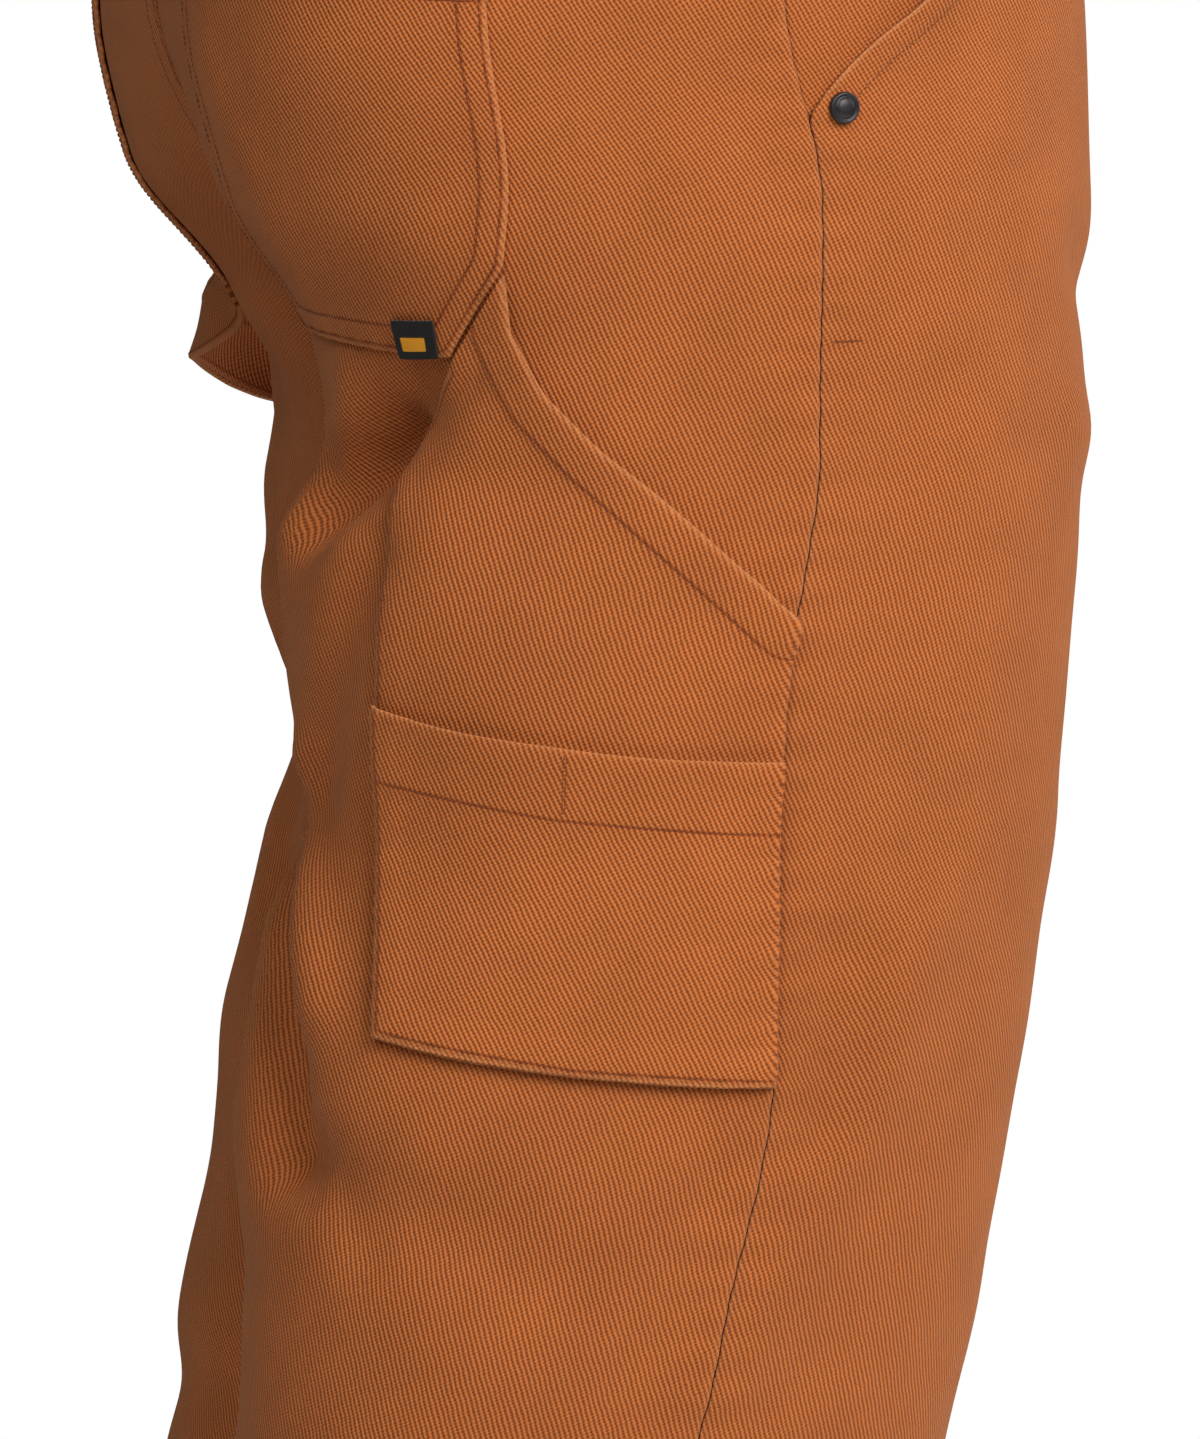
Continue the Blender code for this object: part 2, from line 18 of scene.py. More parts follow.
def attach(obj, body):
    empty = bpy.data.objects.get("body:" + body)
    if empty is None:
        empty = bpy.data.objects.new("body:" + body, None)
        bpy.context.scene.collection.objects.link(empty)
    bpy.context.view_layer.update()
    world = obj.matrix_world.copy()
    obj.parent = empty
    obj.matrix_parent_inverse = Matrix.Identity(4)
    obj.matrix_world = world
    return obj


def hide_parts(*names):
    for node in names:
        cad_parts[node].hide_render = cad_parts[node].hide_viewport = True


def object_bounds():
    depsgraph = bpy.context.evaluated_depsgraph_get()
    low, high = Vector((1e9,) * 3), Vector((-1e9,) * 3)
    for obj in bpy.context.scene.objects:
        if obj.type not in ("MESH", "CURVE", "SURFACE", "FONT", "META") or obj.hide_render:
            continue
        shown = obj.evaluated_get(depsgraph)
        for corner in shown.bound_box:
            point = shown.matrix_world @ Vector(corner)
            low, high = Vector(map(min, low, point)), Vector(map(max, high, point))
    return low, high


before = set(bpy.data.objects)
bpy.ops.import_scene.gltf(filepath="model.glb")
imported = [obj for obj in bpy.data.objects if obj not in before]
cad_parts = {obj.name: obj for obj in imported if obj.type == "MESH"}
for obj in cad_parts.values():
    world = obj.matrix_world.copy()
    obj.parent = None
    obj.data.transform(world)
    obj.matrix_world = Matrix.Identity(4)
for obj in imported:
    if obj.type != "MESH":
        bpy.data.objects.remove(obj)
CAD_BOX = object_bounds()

bl_info = {
    "name": "Carpenter Pants",
    "version": (1, 0, 0),
    "blender": (4, 5, 0),
    "location": "3D View > Sidebar > Pants",
    "description": "Builds carpenter pants in brown cotton twill, with their sewing and hardware",
    "category": "Object",
}

# Sizes shared with the CAD model, in metres
CLOTH = 0.0012
SEAM_GAP = 0.0004
LAY_GAP = 0.0005
WAIST_TOP = 0.020
WAIST_BOTTOM = -0.020
HEM_HEIGHT = -1.060
SQUARENESS = 2.2
RIGHT, LEFT = -1, 1
SIDES = {"right": RIGHT, "left": LEFT}

# The form of one leg and its half of the hips, row by row, as in the CAD model
Section = namedtuple("Section", "z cx cy front back outer inner seam stride tilt")
SECTIONS = (
    Section(-1.060, 0.102, 0.060, 0.092, 0.091, 0.072, 0.072, 178.0, 0.016, -0.06),
    Section(-1.000, 0.102, 0.058, 0.093, 0.092, 0.072, 0.072, 178.0, 0.016, -0.05),
    Section(-0.800, 0.100, 0.050, 0.102, 0.102, 0.079, 0.077, 178.0, 0.018, 0.00),
    Section(-0.615, 0.099, 0.031, 0.113, 0.115, 0.088, 0.084, 178.0, 0.020, 0.00),
    Section(-0.540, 0.100, 0.021, 0.119, 0.121, 0.091, 0.086, 176.5, 0.032, 0.00),
    Section(-0.480, 0.100, 0.012, 0.121, 0.133, 0.093, 0.088, 174.5, 0.041, 0.00),
    Section(-0.430, 0.101, 0.004, 0.120, 0.132, 0.095, 0.090, 177.0, 0.045, 0.00),
    Section(-0.385, 0.101, 0.000, 0.121, 0.122, 0.096, 0.092, 178.5, 0.043, 0.00),
    Section(-0.330, 0.101, 0.000, 0.126, 0.128, 0.098, 0.094, 177.5, 0.042, 0.00),
    Section(-0.300, 0.100, 0.000, 0.128, 0.126, 0.099, 0.096, 175.5, 0.026, 0.00),
    Section(-0.270, 0.099, 0.000, 0.129, 0.112, 0.100, 0.0985, 174.0, 0.003, 0.00),
    Section(-0.235, 0.095, 0.000, 0.131, 0.117, 0.104, 0.108, 174.0, 0.000, 0.00),
    Section(-0.190, 0.090, 0.000, 0.133, 0.144, 0.110, 0.150, 174.0, 0.000, 0.00),
    Section(-0.135, 0.087, 0.000, 0.132, 0.155, 0.110, 0.260, 178.0, 0.000, 0.01),
    Section(-0.075, 0.085, 0.003, 0.128, 0.143, 0.105, 0.450, 180.0, 0.000, 0.05),
    Section(-0.020, 0.085, 0.005, 0.121, 0.122, 0.092, 0.600, 180.0, 0.000, 0.08),
    Section(0.030, 0.085, 0.005, 0.118, 0.116, 0.088, 0.600, 180.0, 0.000, 0.09),
)

# Heights of the panels' rows: close together from the pockets to the knee
Stretch = namedtuple("Stretch", "top bottom rows")
ROW_STRETCHES = (
    Stretch(WAIST_BOTTOM, -0.090, 10),
    Stretch(-0.090, -0.640, 184),
    Stretch(-0.640, -1.034, 50),
    Stretch(-1.034, HEM_HEIGHT, 13),
)
# Columns stand this far from each long edge of a panel, then evenly
EDGE_STEPS = (0, 0.0006, 0.0014, 0.0026, 0.0042, 0.0062, 0.0086, 0.0112, 0.0138, 0.0164, 0.019)
MIDDLE_COLUMNS = 74
PATCH_EDGE_STEPS = EDGE_STEPS[:6]
FINE_ANGLES = 321

# The front pocket's opening: how far it lies ahead of the side seam at each height
Edge = namedtuple("Edge", "z ahead")
FRONT_OPENING = (
    Edge(-0.163, 0.000),
    Edge(-0.152, 0.012),
    Edge(-0.140, 0.028),
    Edge(-0.128, 0.046),
    Edge(-0.105, 0.070),
    Edge(-0.075, 0.086),
    Edge(-0.045, 0.095),
    Edge(-0.020, 0.100),
)
OPENING_GAPE = 0.0035
# The facing reaches past the opening's foot and its edge
FACING_REACH, FACING_BEHIND = 0.012, 0.016
FACING_ROWS, FACING_COLUMNS = 56, 40

# Folds of the cloth: a soft ridge, or a trough where depth is minus, along a line
Fold = namedtuple("Fold", "side s z s_end z_end width depth")
FOLDS = (
    # Under the seat
    Fold(RIGHT, 0.134, -0.254, 0.180, -0.286, 0.014, -0.009),
    Fold(RIGHT, 0.165, -0.262, 0.205, -0.300, 0.016, 0.004),
    Fold(LEFT, 0.175, -0.150, 0.175, -0.245, 0.050, -0.012),
    Fold(LEFT, 0.140, -0.268, 0.240, -0.298, 0.034, -0.017),
    Fold(LEFT, 0.110, -0.300, 0.200, -0.335, 0.018, 0.005),
    # Behind the tool pocket, from the back of the thigh down to the pocket's lower corner
    Fold(RIGHT, 0.182, -0.372, 0.154, -0.440, 0.012, 0.006),
    Fold(RIGHT, 0.200, -0.385, 0.166, -0.492, 0.014, -0.015),
    Fold(RIGHT, 0.142, -0.300, 0.170, -0.385, 0.013, -0.005),
    Fold(LEFT, 0.150, -0.365, 0.205, -0.440, 0.018, -0.008),
    Fold(LEFT, 0.175, -0.350, 0.230, -0.420, 0.018, 0.006),
    # Below and over the utility pocket
    Fold(RIGHT, 0.150, -0.492, 0.060, -0.524, 0.018, -0.005),
    Fold(RIGHT, 0.122, -0.418, 0.050, -0.452, 0.026, -0.0022),
    Fold(LEFT, 0.140, -0.470, 0.040, -0.520, 0.020, -0.004),
    # Down the front beside the side seam
    Fold(RIGHT, -0.050, -0.420, -0.006, -0.556, 0.016, 0.003),
    Fold(RIGHT, -0.018, -0.425, -0.018, -0.475, 0.012, -0.003),
    Fold(LEFT, -0.060, -0.400, -0.012, -0.530, 0.017, 0.003),
    # From the crotch towards the hips
    Fold(RIGHT, -0.215, -0.262, -0.120, -0.215, 0.014, -0.004),
    Fold(RIGHT, -0.205, -0.290, -0.110, -0.262, 0.013, 0.003),
    Fold(LEFT, -0.210, -0.268, -0.130, -0.222, 0.014, -0.004),
    Fold(LEFT, -0.200, -0.300, -0.120, -0.282, 0.013, 0.003),
    # Behind the knees
    Fold(RIGHT, 0.100, -0.610, 0.230, -0.640, 0.016, -0.005),
    Fold(RIGHT, 0.120, -0.655, 0.220, -0.665, 0.018, 0.004),
    Fold(LEFT, 0.110, -0.625, 0.220, -0.605, 0.016, -0.005),
    Fold(LEFT, 0.090, -0.680, 0.210, -0.660, 0.018, 0.004),
    # Where the legs rest above the feet
    Fold(RIGHT, -0.150, -0.965, -0.040, -0.985, 0.016, -0.005),
    Fold(RIGHT, 0.030, -1.000, 0.150, -0.975, 0.018, -0.004),
    Fold(LEFT, -0.140, -0.980, -0.030, -0.960, 0.016, -0.005),
    Fold(LEFT, 0.040, -0.970, 0.140, -1.000, 0.018, -0.004),
)
# Small creases that the solids leave out
CREASES = (
    Fold(RIGHT, 0.148, -0.264, 0.186, -0.296, 0.0095, -0.0115),
    Fold(RIGHT, 0.170, -0.246, 0.186, -0.300, 0.0080, 0.0022),
    Fold(RIGHT, 0.196, -0.262, 0.199, -0.296, 0.0035, 0.0012),
    Fold(RIGHT, 0.186, -0.258, 0.190, -0.290, 0.0040, -0.0010),
    Fold(RIGHT, 0.152, -0.482, 0.150, -0.505, 0.0045, -0.0020),
    Fold(RIGHT, 0.148, -0.486, 0.120, -0.520, 0.0080, -0.0018),
    Fold(RIGHT, 0.205, -0.150, 0.180, -0.215, 0.0100, 0.0012),
    Fold(RIGHT, 0.110, -0.246, 0.128, -0.262, 0.0055, -0.0018),
    Fold(RIGHT, -0.040, -0.250, -0.012, -0.300, 0.0140, -0.0010),
    Fold(RIGHT, 0.020, -0.475, 0.015, -0.500, 0.0060, -0.0012),
    Fold(LEFT, 0.190, -0.262, 0.196, -0.298, 0.0040, 0.0012),
    Fold(LEFT, 0.205, -0.150, 0.184, -0.212, 0.0100, 0.0012),
    Fold(LEFT, 0.150, -0.480, 0.110, -0.505, 0.0070, -0.0018),
)

# A pocket, row by row: the ends of each row towards the side seam (a) and the centre back (b)
Knot = namedtuple("Knot", "t s_a z_a s_b z_b")
PocketCut = namedtuple("PocketCut", "knots bow sewn mouth hem gape")
BACK_POCKET = PocketCut(
    knots=(
        Knot(0.00, 0.089, -0.103, 0.228, -0.100),
        Knot(0.78, 0.099, -0.208, 0.220, -0.206),
        Knot(1.00, 0.117, -0.237, 0.203, -0.234),
    ),
    bow=0.0,
    sewn=(
        (0.089, -0.103), (0.099, -0.208), (0.117, -0.237), (0.203, -0.234), (0.220, -0.206), (0.228, -0.100)
    ),
    mouth=((0.089, -0.103), (0.228, -0.100)), hem=0.026, gape=0.0015,
)
TOOL_POCKET = PocketCut(
    knots=(
        Knot(0.00, 0.0984, -0.2100, 0.0993, -0.2110),
        Knot(0.07, 0.0955, -0.2280, 0.1083, -0.2257),
        Knot(0.14, 0.0850, -0.2470, 0.1178, -0.2408),
        Knot(0.21, 0.0680, -0.2640, 0.1299, -0.2564),
        Knot(0.29, 0.0480, -0.2800, 0.1420, -0.2720),
        Knot(0.37, 0.0250, -0.2980, 0.1393, -0.2890),
        Knot(0.44, 0.0010, -0.3165, 0.1369, -0.3050),
        Knot(0.54, 0.0010, -0.3430, 0.1330, -0.3300),
        Knot(1.00, 0.0010, -0.4640, 0.1280, -0.4490),
    ),
    bow=0.0024,
    sewn=(
        (0.1178, -0.2408), (0.142, -0.272), (0.133, -0.330), (0.128, -0.449), (0.064, -0.459), (0.001, -0.464)
    ),
    mouth=(
        (0.0988, -0.2105),
        (0.0955, -0.2280),
        (0.0850, -0.2470),
        (0.0680, -0.2640),
        (0.0480, -0.2800),
        (0.0250, -0.2980),
        (0.0010, -0.3165),
    ),
    hem=0.0125, gape=0.0022,
)
UTILITY_POCKET = PocketCut(
    knots=(Knot(0.0, 0.002, -0.3610, 0.1320, -0.3450), Knot(1.0, 0.002, -0.4635, 0.1275, -0.4485)),
    bow=0.0022, sewn=((0.132, -0.345), (0.1275, -0.4485), (0.064, -0.4585), (0.002, -0.4635)),
    mouth=((0.002, -0.361), (0.066, -0.355), (0.132, -0.345)), hem=0.023, gape=0.0016,
)
# Each pocket: its leg and cut, its layer over the panel, its grid, the cloth that it rests on, how pale it
# is, and how far its twill is set off from the panel's
Pocket = namedtuple("Pocket", "side cut layer rows columns rests_on shade slide")
POCKETS = {
    "back_pocket_right": Pocket("right", BACK_POCKET, 1, 44, 40, "back_panel_right", 1.0, 0.0051),
    "back_pocket_left": Pocket("left", BACK_POCKET, 1, 44, 40, "back_panel_left", 1.0, 0.0051),
    "tool_pocket": Pocket("right", TOOL_POCKET, 1, 78, 40, "back_panel_right", 1.03, 0.0137),
    "utility_pocket": Pocket("right", UTILITY_POCKET, 2, 32, 38, "tool_pocket", 1.09, 0.0051),
}
POCKET_CLOTH = 0.0013
POCKET_LIFT = 0.0022
TAB_CORNERS = ((0.1215, -0.2245), (0.1195, -0.2365), (0.1360, -0.2365), (0.1370, -0.2250))
TAB_CLOTH = 0.0008
TAB_ROWS, TAB_COLUMNS = 30, 40
# The amber bar's left, right, upper and lower edges, as shares of the tab
TAB_BAR = (0.24, 0.84, 0.44, 0.80)

WAISTBAND_CLOTH = 0.0028
WAISTBAND_LIFT = 0.0008
WAISTBAND_LAP = 0.024
# Laps over the panels' upper edge, so that no light shows between them
WAISTBAND_TUCK = 0.0003
WAISTBAND_COLUMNS = 72
# The lap takes every fourth of its finer columns, and the ring under it ends eight columns short
LAP_COLUMNS, LAP_STEP, LAP_MARGIN = 241, 4, 8
LOOP_START = (0.006, -0.299)
LOOP_END = (0.135, -0.235)
LOOP_WIDTH = 0.022
LOOP_REACH = 0.043
LOOP_LENGTH = 0.216
# It climbs onto the left back pocket between these shares of its length
LOOP_ON_POCKET = (0.70, 0.85)
LOOP_OVER_POCKET = 0.0032
LOOP_ROWS = 81
LOOP_CLOTH = 0.0024
BeltLoop = namedtuple("BeltLoop", "name half s")
BELT_LOOPS = (
    BeltLoop("front", "front", 0.105), BeltLoop("side", "back", 0.035), BeltLoop("back", "back", 0.150)
)
BELT_LOOP_WIDTH = 0.012
BELT_LOOP_TOP = WAIST_TOP - 0.001
BELT_LOOP_BOTTOM = -0.030
BELT_LOOP_COLUMNS = 9
BELT_LOOP_CLOTH = 0.0018
BELT_LOOP_LIFT = 0.0032
BELT_LOOP_REACH = 0.0020
FLY_BOTTOM = -0.150
FLY_RIGHT = 0.034
FLY_LEFT = 0.010
FLY_BEHIND = 0.0030
# Two rows curve round the fly's foot: how far they stand from the centre, where they turn, and their foot
FLY_STITCHES = (0.036, 0.0295)
FLY_TURN = -0.128
FLY_ROUND = 0.040
FLY_FOOT = -0.166

# Rows of stitching, by their distance from the edge or seam that they follow
SEAM_STITCHES = (0.0020, 0.0085)
EDGE_STITCH = 0.0022
BACK_POCKET_STITCHES = (EDGE_STITCH, 0.0090)
STRAP_STITCH = 0.0024
BAND_STITCH = 0.0026
SIDE_STITCH = 0.0007
OPENING_STITCH = 0.0075
HEM_STITCH = 0.020
# The bar tack below the rivet: a short zigzag across the side seam's allowance
TACK_START = (-0.004, -0.2325)
TACK_STEP, TACK_RISE, TACK_COUNT, TACK_PITCH = 0.00045, 0.001, 22, 0.0011
# The short double row that divides the utility pocket's hem
DIVIDER = 0.067
DIVIDER_APART, DIVIDER_PITCH = 0.0008, 0.0019
DIVIDER_TOP, DIVIDER_FOOT = -0.3575, -0.377
# How far above the cloth a point is taken to tell which way is out
PROBE = 0.01

RIVET = (-0.0115, -0.1605)
TURN_STEPS = 48
# Radius and height of the turned pieces, from the middle of the face to the middle of the back
RIVET_PROFILE = (
    (0.0, 0.00225), (0.0012, 0.0022), (0.0024, 0.0020), (0.0031, 0.0016), (0.0034, 0.0012),
    (0.0037, 0.0012), (0.0040, 0.0016), (0.0044, 0.0017), (0.0048, 0.0014), (0.00495, 0.0008),
    (0.0049, 0.0), (0.0, 0.0),
)
BUTTON_AHEAD = 0.012
BUTTON_PROFILE = (
    (0.0, 0.0050), (0.0035, 0.0049), (0.0052, 0.0046), (0.0060, 0.0043), (0.0066, 0.0047),
    (0.0074, 0.0052), (0.0081, 0.0049), (0.0084, 0.0042), (0.0084, 0.0031), (0.0080, 0.0028),
    (0.0035, 0.0022), (0.0030, 0.0), (0.0, 0.0),
)

# A flat cut of cloth: width, length and area of what a piece is cut to
Cut = namedtuple("Cut", "width length area")

# Camera and light, worked out from the curves of the pockets in the photograph
VIEW_AZIMUTH = -105.0
VIEW_ELEVATION = 8.0
VIEW_DISTANCE = 2.5
VIEW_AIM = Vector((0.0, 0.0, -0.375))
VIEW_FOCAL_PIXELS = 7500.0
IMAGE_HEIGHT = 1439
SENSOR = 36.0
Light = namedtuple("Light", "name azimuth elevation distance size power colour")
LIGHTS = (
    Light("key", -72.0, 32.0, 2.6, 1.4, 60.0, "#fffaf4"),
    Light("fill", -130.0, 40.0, 3.2, 1.6, 34.0, "#ffffff"),
    Light("front", 10.0, 25.0, 3.0, 2.0, 36.0, "#ffffff"),
    Light("back", 70.0, 25.0, 3.4, 2.4, 16.0, "#ffffff"),
)
FLOOR_RADIUS = 1.7
FLOOR_BELOW = 0.002


def linear(text):
    """A linear colour from an sRGB hex value."""
    values = [int(text[i : i + 2], 16) / 255 for i in (1, 3, 5)]
    return (*(v / 12.92 if v <= 0.04045 else ((v + 0.055) / 1.055) ** 2.4 for v in values), 1.0)


def smooth(value, start, end):
    """0 at start and beyond, 1 at end and beyond, an even ease between them."""
    share = np.clip((np.asarray(value, float) - start) / (end - start), 0, 1)
    return share * share * (3 - 2 * share)


def bell(distance, width):
    """1 on a line, easing to 0 a few widths away from it."""
    return np.exp(-((distance / width) ** 2))


def unit(vectors):
    """Vectors at a length of 1."""
    return vectors / np.maximum(np.linalg.norm(vectors, axis=-1, keepdims=True), 1e-12)


def arc_length(points):
    """Metres along a bent line at each of its points."""
    return np.concatenate([[0], np.cumsum(np.linalg.norm(np.diff(points, axis=0), axis=1))])


def segment_gap(s0, z0, s1, z1, s, z):
    """Metres from s and z to the nearest point of a straight line."""
    run, rise = s1 - s0, z1 - z0
    t = np.clip(((s - s0) * run + (z - z0) * rise) / (run * run + rise * rise), 0, 1)
    return np.hypot(s - s0 - t * run, z - z0 - t * rise)


def along(table, name, z):
    """The value of a table's column at height z, on a smooth line that never overshoots its rows."""
    rows = sorted(table, key=lambda row: row.z)
    heights = np.array([row.z for row in rows])
    values = np.array([getattr(row, name) for row in rows])
    step = np.diff(heights)
    slope = np.diff(values) / step
    lean = np.concatenate([slope[:1], np.zeros(len(rows) - 2), slope[-1:]])
    product = slope[:-1] * slope[1:]
    total = slope[:-1] + slope[1:]
    lean[1:-1] = np.where(product > 0, 2 * product / np.where(total == 0, 1, total), 0)
    z = np.clip(np.asarray(z, float), heights[0], heights[-1])
    i = np.clip(np.searchsorted(heights, z, side="right") - 1, 0, len(step) - 1)
    t = (z - heights[i]) / step[i]
    return (
        values[i] * (1 + 2 * t) * (1 - t) ** 2
        + values[i + 1] * t * t * (3 - 2 * t)
        + lean[i] * step[i] * t * (1 - t) ** 2
        - lean[i + 1] * step[i] * t * t * (1 - t)
    )


def form(side, angle, z):
    """Points of the bare form; at 0 degrees the inside of the leg, 90 front, 180 outside, 270 back."""
    angle, z = np.broadcast_arrays(np.asarray(angle, float), np.asarray(z, float))
    inwards, ahead = np.cos(np.radians(angle)), np.sin(np.radians(angle))
    reach = {name: along(SECTIONS, name, z) for name in Section._fields[1:]}
    power = 2 / SQUARENESS
    wide = np.where(inwards > 0, reach["inner"], reach["outer"])
    deep = np.where(ahead > 0, reach["front"], reach["back"])
    x = reach["cx"] - wide * np.sign(inwards) * np.abs(inwards) ** power
    x = np.maximum(x, SEAM_GAP / 2)
    y = reach["cy"] - deep * np.sign(ahead) * np.abs(ahead) ** power
    if side == LEFT:
        y = y - reach["stride"]
    return np.stack([side * x, y, z + reach["tilt"] * y], axis=-1)


def outward(side, angle, z):
    """The level direction out of the cloth at each point."""
    turn = 1.5
    line = form(side, np.asarray(angle) + turn, z) - form(side, np.asarray(angle) - turn, z)
    way = side * np.stack([line[..., 1], -line[..., 0], 0 * line[..., 0]], axis=-1)
    return unit(way)


def end_angle(half, z):
    """Where a row of cloth ends: at the centre seam above the crotch, at the inseam below it."""
    share = np.minimum(1, along(SECTIONS, "cx", z) / along(SECTIONS, "inner", z))
    angle = np.degrees(np.arccos(share ** (SQUARENESS / 2)))
    return angle if half == "front" else 360 - angle


def fold_height(side, s, z):
    """How far the folds and creases lift the cloth at s and z."""
    height = np.zeros(np.broadcast(s, z).shape)
    for fold in FOLDS + CREASES:
        if fold.side == side:
            off = segment_gap(fold.s, fold.z, fold.s_end, fold.z_end, s, z)
            height += fold.depth * bell(off, fold.width)
    return height


def drift_height(side, s, z):
    """The cloth's slight unevenness, a fraction of a millimetre."""
    a = np.sin(61 * s + 37 * z + side) + np.sin(-43 * s + 71 * z + 2.1 * side)
    b = np.sin(113 * s - 29 * z + 0.7 * side) + np.sin(97 * s + 131 * z - 1.3)
    return 0.00022 * a + 0.00014 * b


def pucker(z, pace):
    """The uneven drawing-in of cloth along a line of stitching, from -1 to 1."""
    return np.sin(2 * np.pi * z / pace + 2.2 * np.sin(31 * z) + 1.4 * np.sin(83 * z))


def seam_height(half, from_side, to_far, from_mouth, z):
    """The small steps of seams, turned edges and hems."""
    roll = 1 - bell(from_side, 0.0012)
    if half == "back":
        height = 0.0009 * roll * bell(from_side, 0.010)
        height += 0.0007 * smooth(to_far, 0.0110, 0.0080)
    else:
        allowance = smooth(from_side, 0.0180, 0.0125)
        height = 0.0006 * roll * allowance - 0.0005 * (1 - roll)
        height += 0.0003 * smooth(to_far, 0.0110, 0.0080)
        turned = smooth(from_mouth, 0.014, 0.010) * smooth(z, -0.175, -0.160)
        gape = bell(from_mouth, 0.022) * smooth(z, -0.158, -0.115)
        height += 0.0006 * turned + OPENING_GAPE * gape
    height += 0.00050 * pucker(z, 0.0125) * bell(from_side, 0.012)
    height += 0.00025 * pucker(z + 0.3, 0.0110) * bell(to_far, 0.010)
    hem = smooth(z, HEM_HEIGHT + 0.0215, HEM_HEIGHT + 0.0185)
    return height + 0.0007 * hem * (1 + 0.5 * pucker(from_side, 0.017))


def spread(first, last, middle, steps=EDGE_STEPS):
    """Places from first to last: close together near both ends, even between them."""
    near = np.array(steps) * min(1, (last - first) / (3 * steps[-1]))
    inner = np.linspace(first + near[-1], last - near[-1], middle + 2)[1:-1]
    return np.concatenate([first + near, inner, last - near[::-1]])


class Cloth:
    """A stretch of one leg's cloth: a grid of points in rows from the top down."""

    def __init__(self, side, half, rows, columns, start=0.0, end=None, lift=0.0, panel=False):
        """start and end are metres of cloth from the side seam; with no end it runs to the next seam.

        A panel has closer columns at its edges, and its seams' own relief.
        """
        self.side, self.half = side, half
        self.rows = np.asarray(rows, float)
        start = np.broadcast_to(start, self.rows.shape)
        count = columns + 2 * len(EDGE_STEPS) if panel else columns
        self.s = np.zeros((len(self.rows), count))
        self.angle = np.zeros_like(self.s)
        self.reach = np.zeros(len(self.rows))
        for i, z in enumerate(self.rows):
            fine = np.linspace(along(SECTIONS, "seam", z), end_angle(half, z), FINE_ANGLES)
            line = form(side, fine, z)
            arc = arc_length(line)
            self.reach[i] = arc[-1] - SEAM_GAP / 2
            last = self.reach[i] if end is None else np.broadcast_to(end, self.rows.shape)[i]
            first = max(start[i], SEAM_GAP / 2)
            self.s[i] = spread(first, last, columns) if panel else np.linspace(first, last, columns)
            self.angle[i] = np.interp(self.s[i], arc, fine)
        z = self.rows[:, None]
        self.from_side = self.s.copy()
        self.to_far = self.reach[:, None] - self.s
        self.from_mouth = self.s - start[:, None]
        if half == "front":
            self.s *= -1
        level = outward(side, self.angle, z)
        bare = form(side, self.angle, z)
        near_centre = np.clip(np.abs(bare[..., 0]) / 0.03, 0, 1)
        height = (fold_height(side, self.s, z) + drift_height(side, self.s, z)) * near_centre + lift
        if panel:
            height += seam_height(half, self.from_side, self.to_far, self.from_mouth, z)
        self.points = bare + level * height[..., None]
        self.points[..., 0] = side * np.maximum(side * self.points[..., 0], SEAM_GAP / 2)
        down, aside = np.gradient(self.points, axis=0), np.gradient(self.points, axis=1)
        normal = np.cross(aside, down)
        normal *= np.sign((normal * level).sum(axis=-1, keepdims=True))
        self.normal = unit(normal)

    def out(self):
        """The mean way out of the cloth."""
        return self.normal.reshape(-1, 3).mean(axis=0)

    def width(self, z):
        """Metres of cloth from the side seam to the far seam at a height."""
        return float(np.interp(-z, -self.rows, self.reach))

    def at(self, s, z, lift):
        """The point of the cloth at s and z, moved out by lift."""
        row = float(np.interp(-z, -self.rows, np.arange(len(self.rows))))
        i = min(int(row), len(self.rows) - 2)
        b = row - i
        line = self.s[i] + (self.s[i + 1] - self.s[i]) * b
        way = 1 if line[-1] > line[0] else -1
        column = float(np.interp(way * s, way * line, np.arange(len(line))))
        j = min(int(column), self.s.shape[1] - 2)
        a = column - j
        found = []
        for grid in (self.points, self.normal):
            upper = grid[i, j] * (1 - a) + grid[i, j + 1] * a
            lower = grid[i + 1, j] * (1 - a) + grid[i + 1, j + 1] * a
            found.append(upper * (1 - b) + lower * b)
        return found[0] + unit(found[1]) * lift

    def lay(self, s, z, lift):
        """The points of the cloth at arrays of s, z and lift."""
        s, z, lift = np.broadcast_arrays(s, z, lift)
        points = [self.at(*place) for place in zip(s.flat, z.flat, lift.flat)]
        return np.array(points).reshape(*s.shape, 3)

    def way_out(self, s, z):
        """The direction out of the cloth at one place."""
        return self.at(s, z, 1) - self.at(s, z, 0)

    def uv(self):
        """Places on the flat cloth, turned so that the twill runs one way on both legs."""
        z = np.broadcast_to(self.rows[:, None], self.s.shape)
        return np.stack([-self.side * self.s, z], axis=-1)


@cache
def panel_cloth(name, half):
    """The grid of a panel, worked out once."""
    rows = [ROW_STRETCHES[0].top]
    for part in ROW_STRETCHES:
        rows += list(np.linspace(part.top, part.bottom, part.rows + 1)[1:])
    rows = np.array(rows)
    start = opening_ahead(rows) if half == "front" else 0.0
    return Cloth(SIDES[name], half, rows, MIDDLE_COLUMNS, start=start, panel=True)


def opening_ahead(z):
    """How far the front pocket's opening lies ahead of the side seam."""
    return np.where(np.asarray(z) < FRONT_OPENING[0].z, 0, along(FRONT_OPENING, "ahead", z))


def line_gap(line, s, z):
    """Metres from s and z to the nearest point of a bent line."""
    return np.min([segment_gap(*a, *b, s, z) for a, b in zip(line, line[1:])], axis=0)


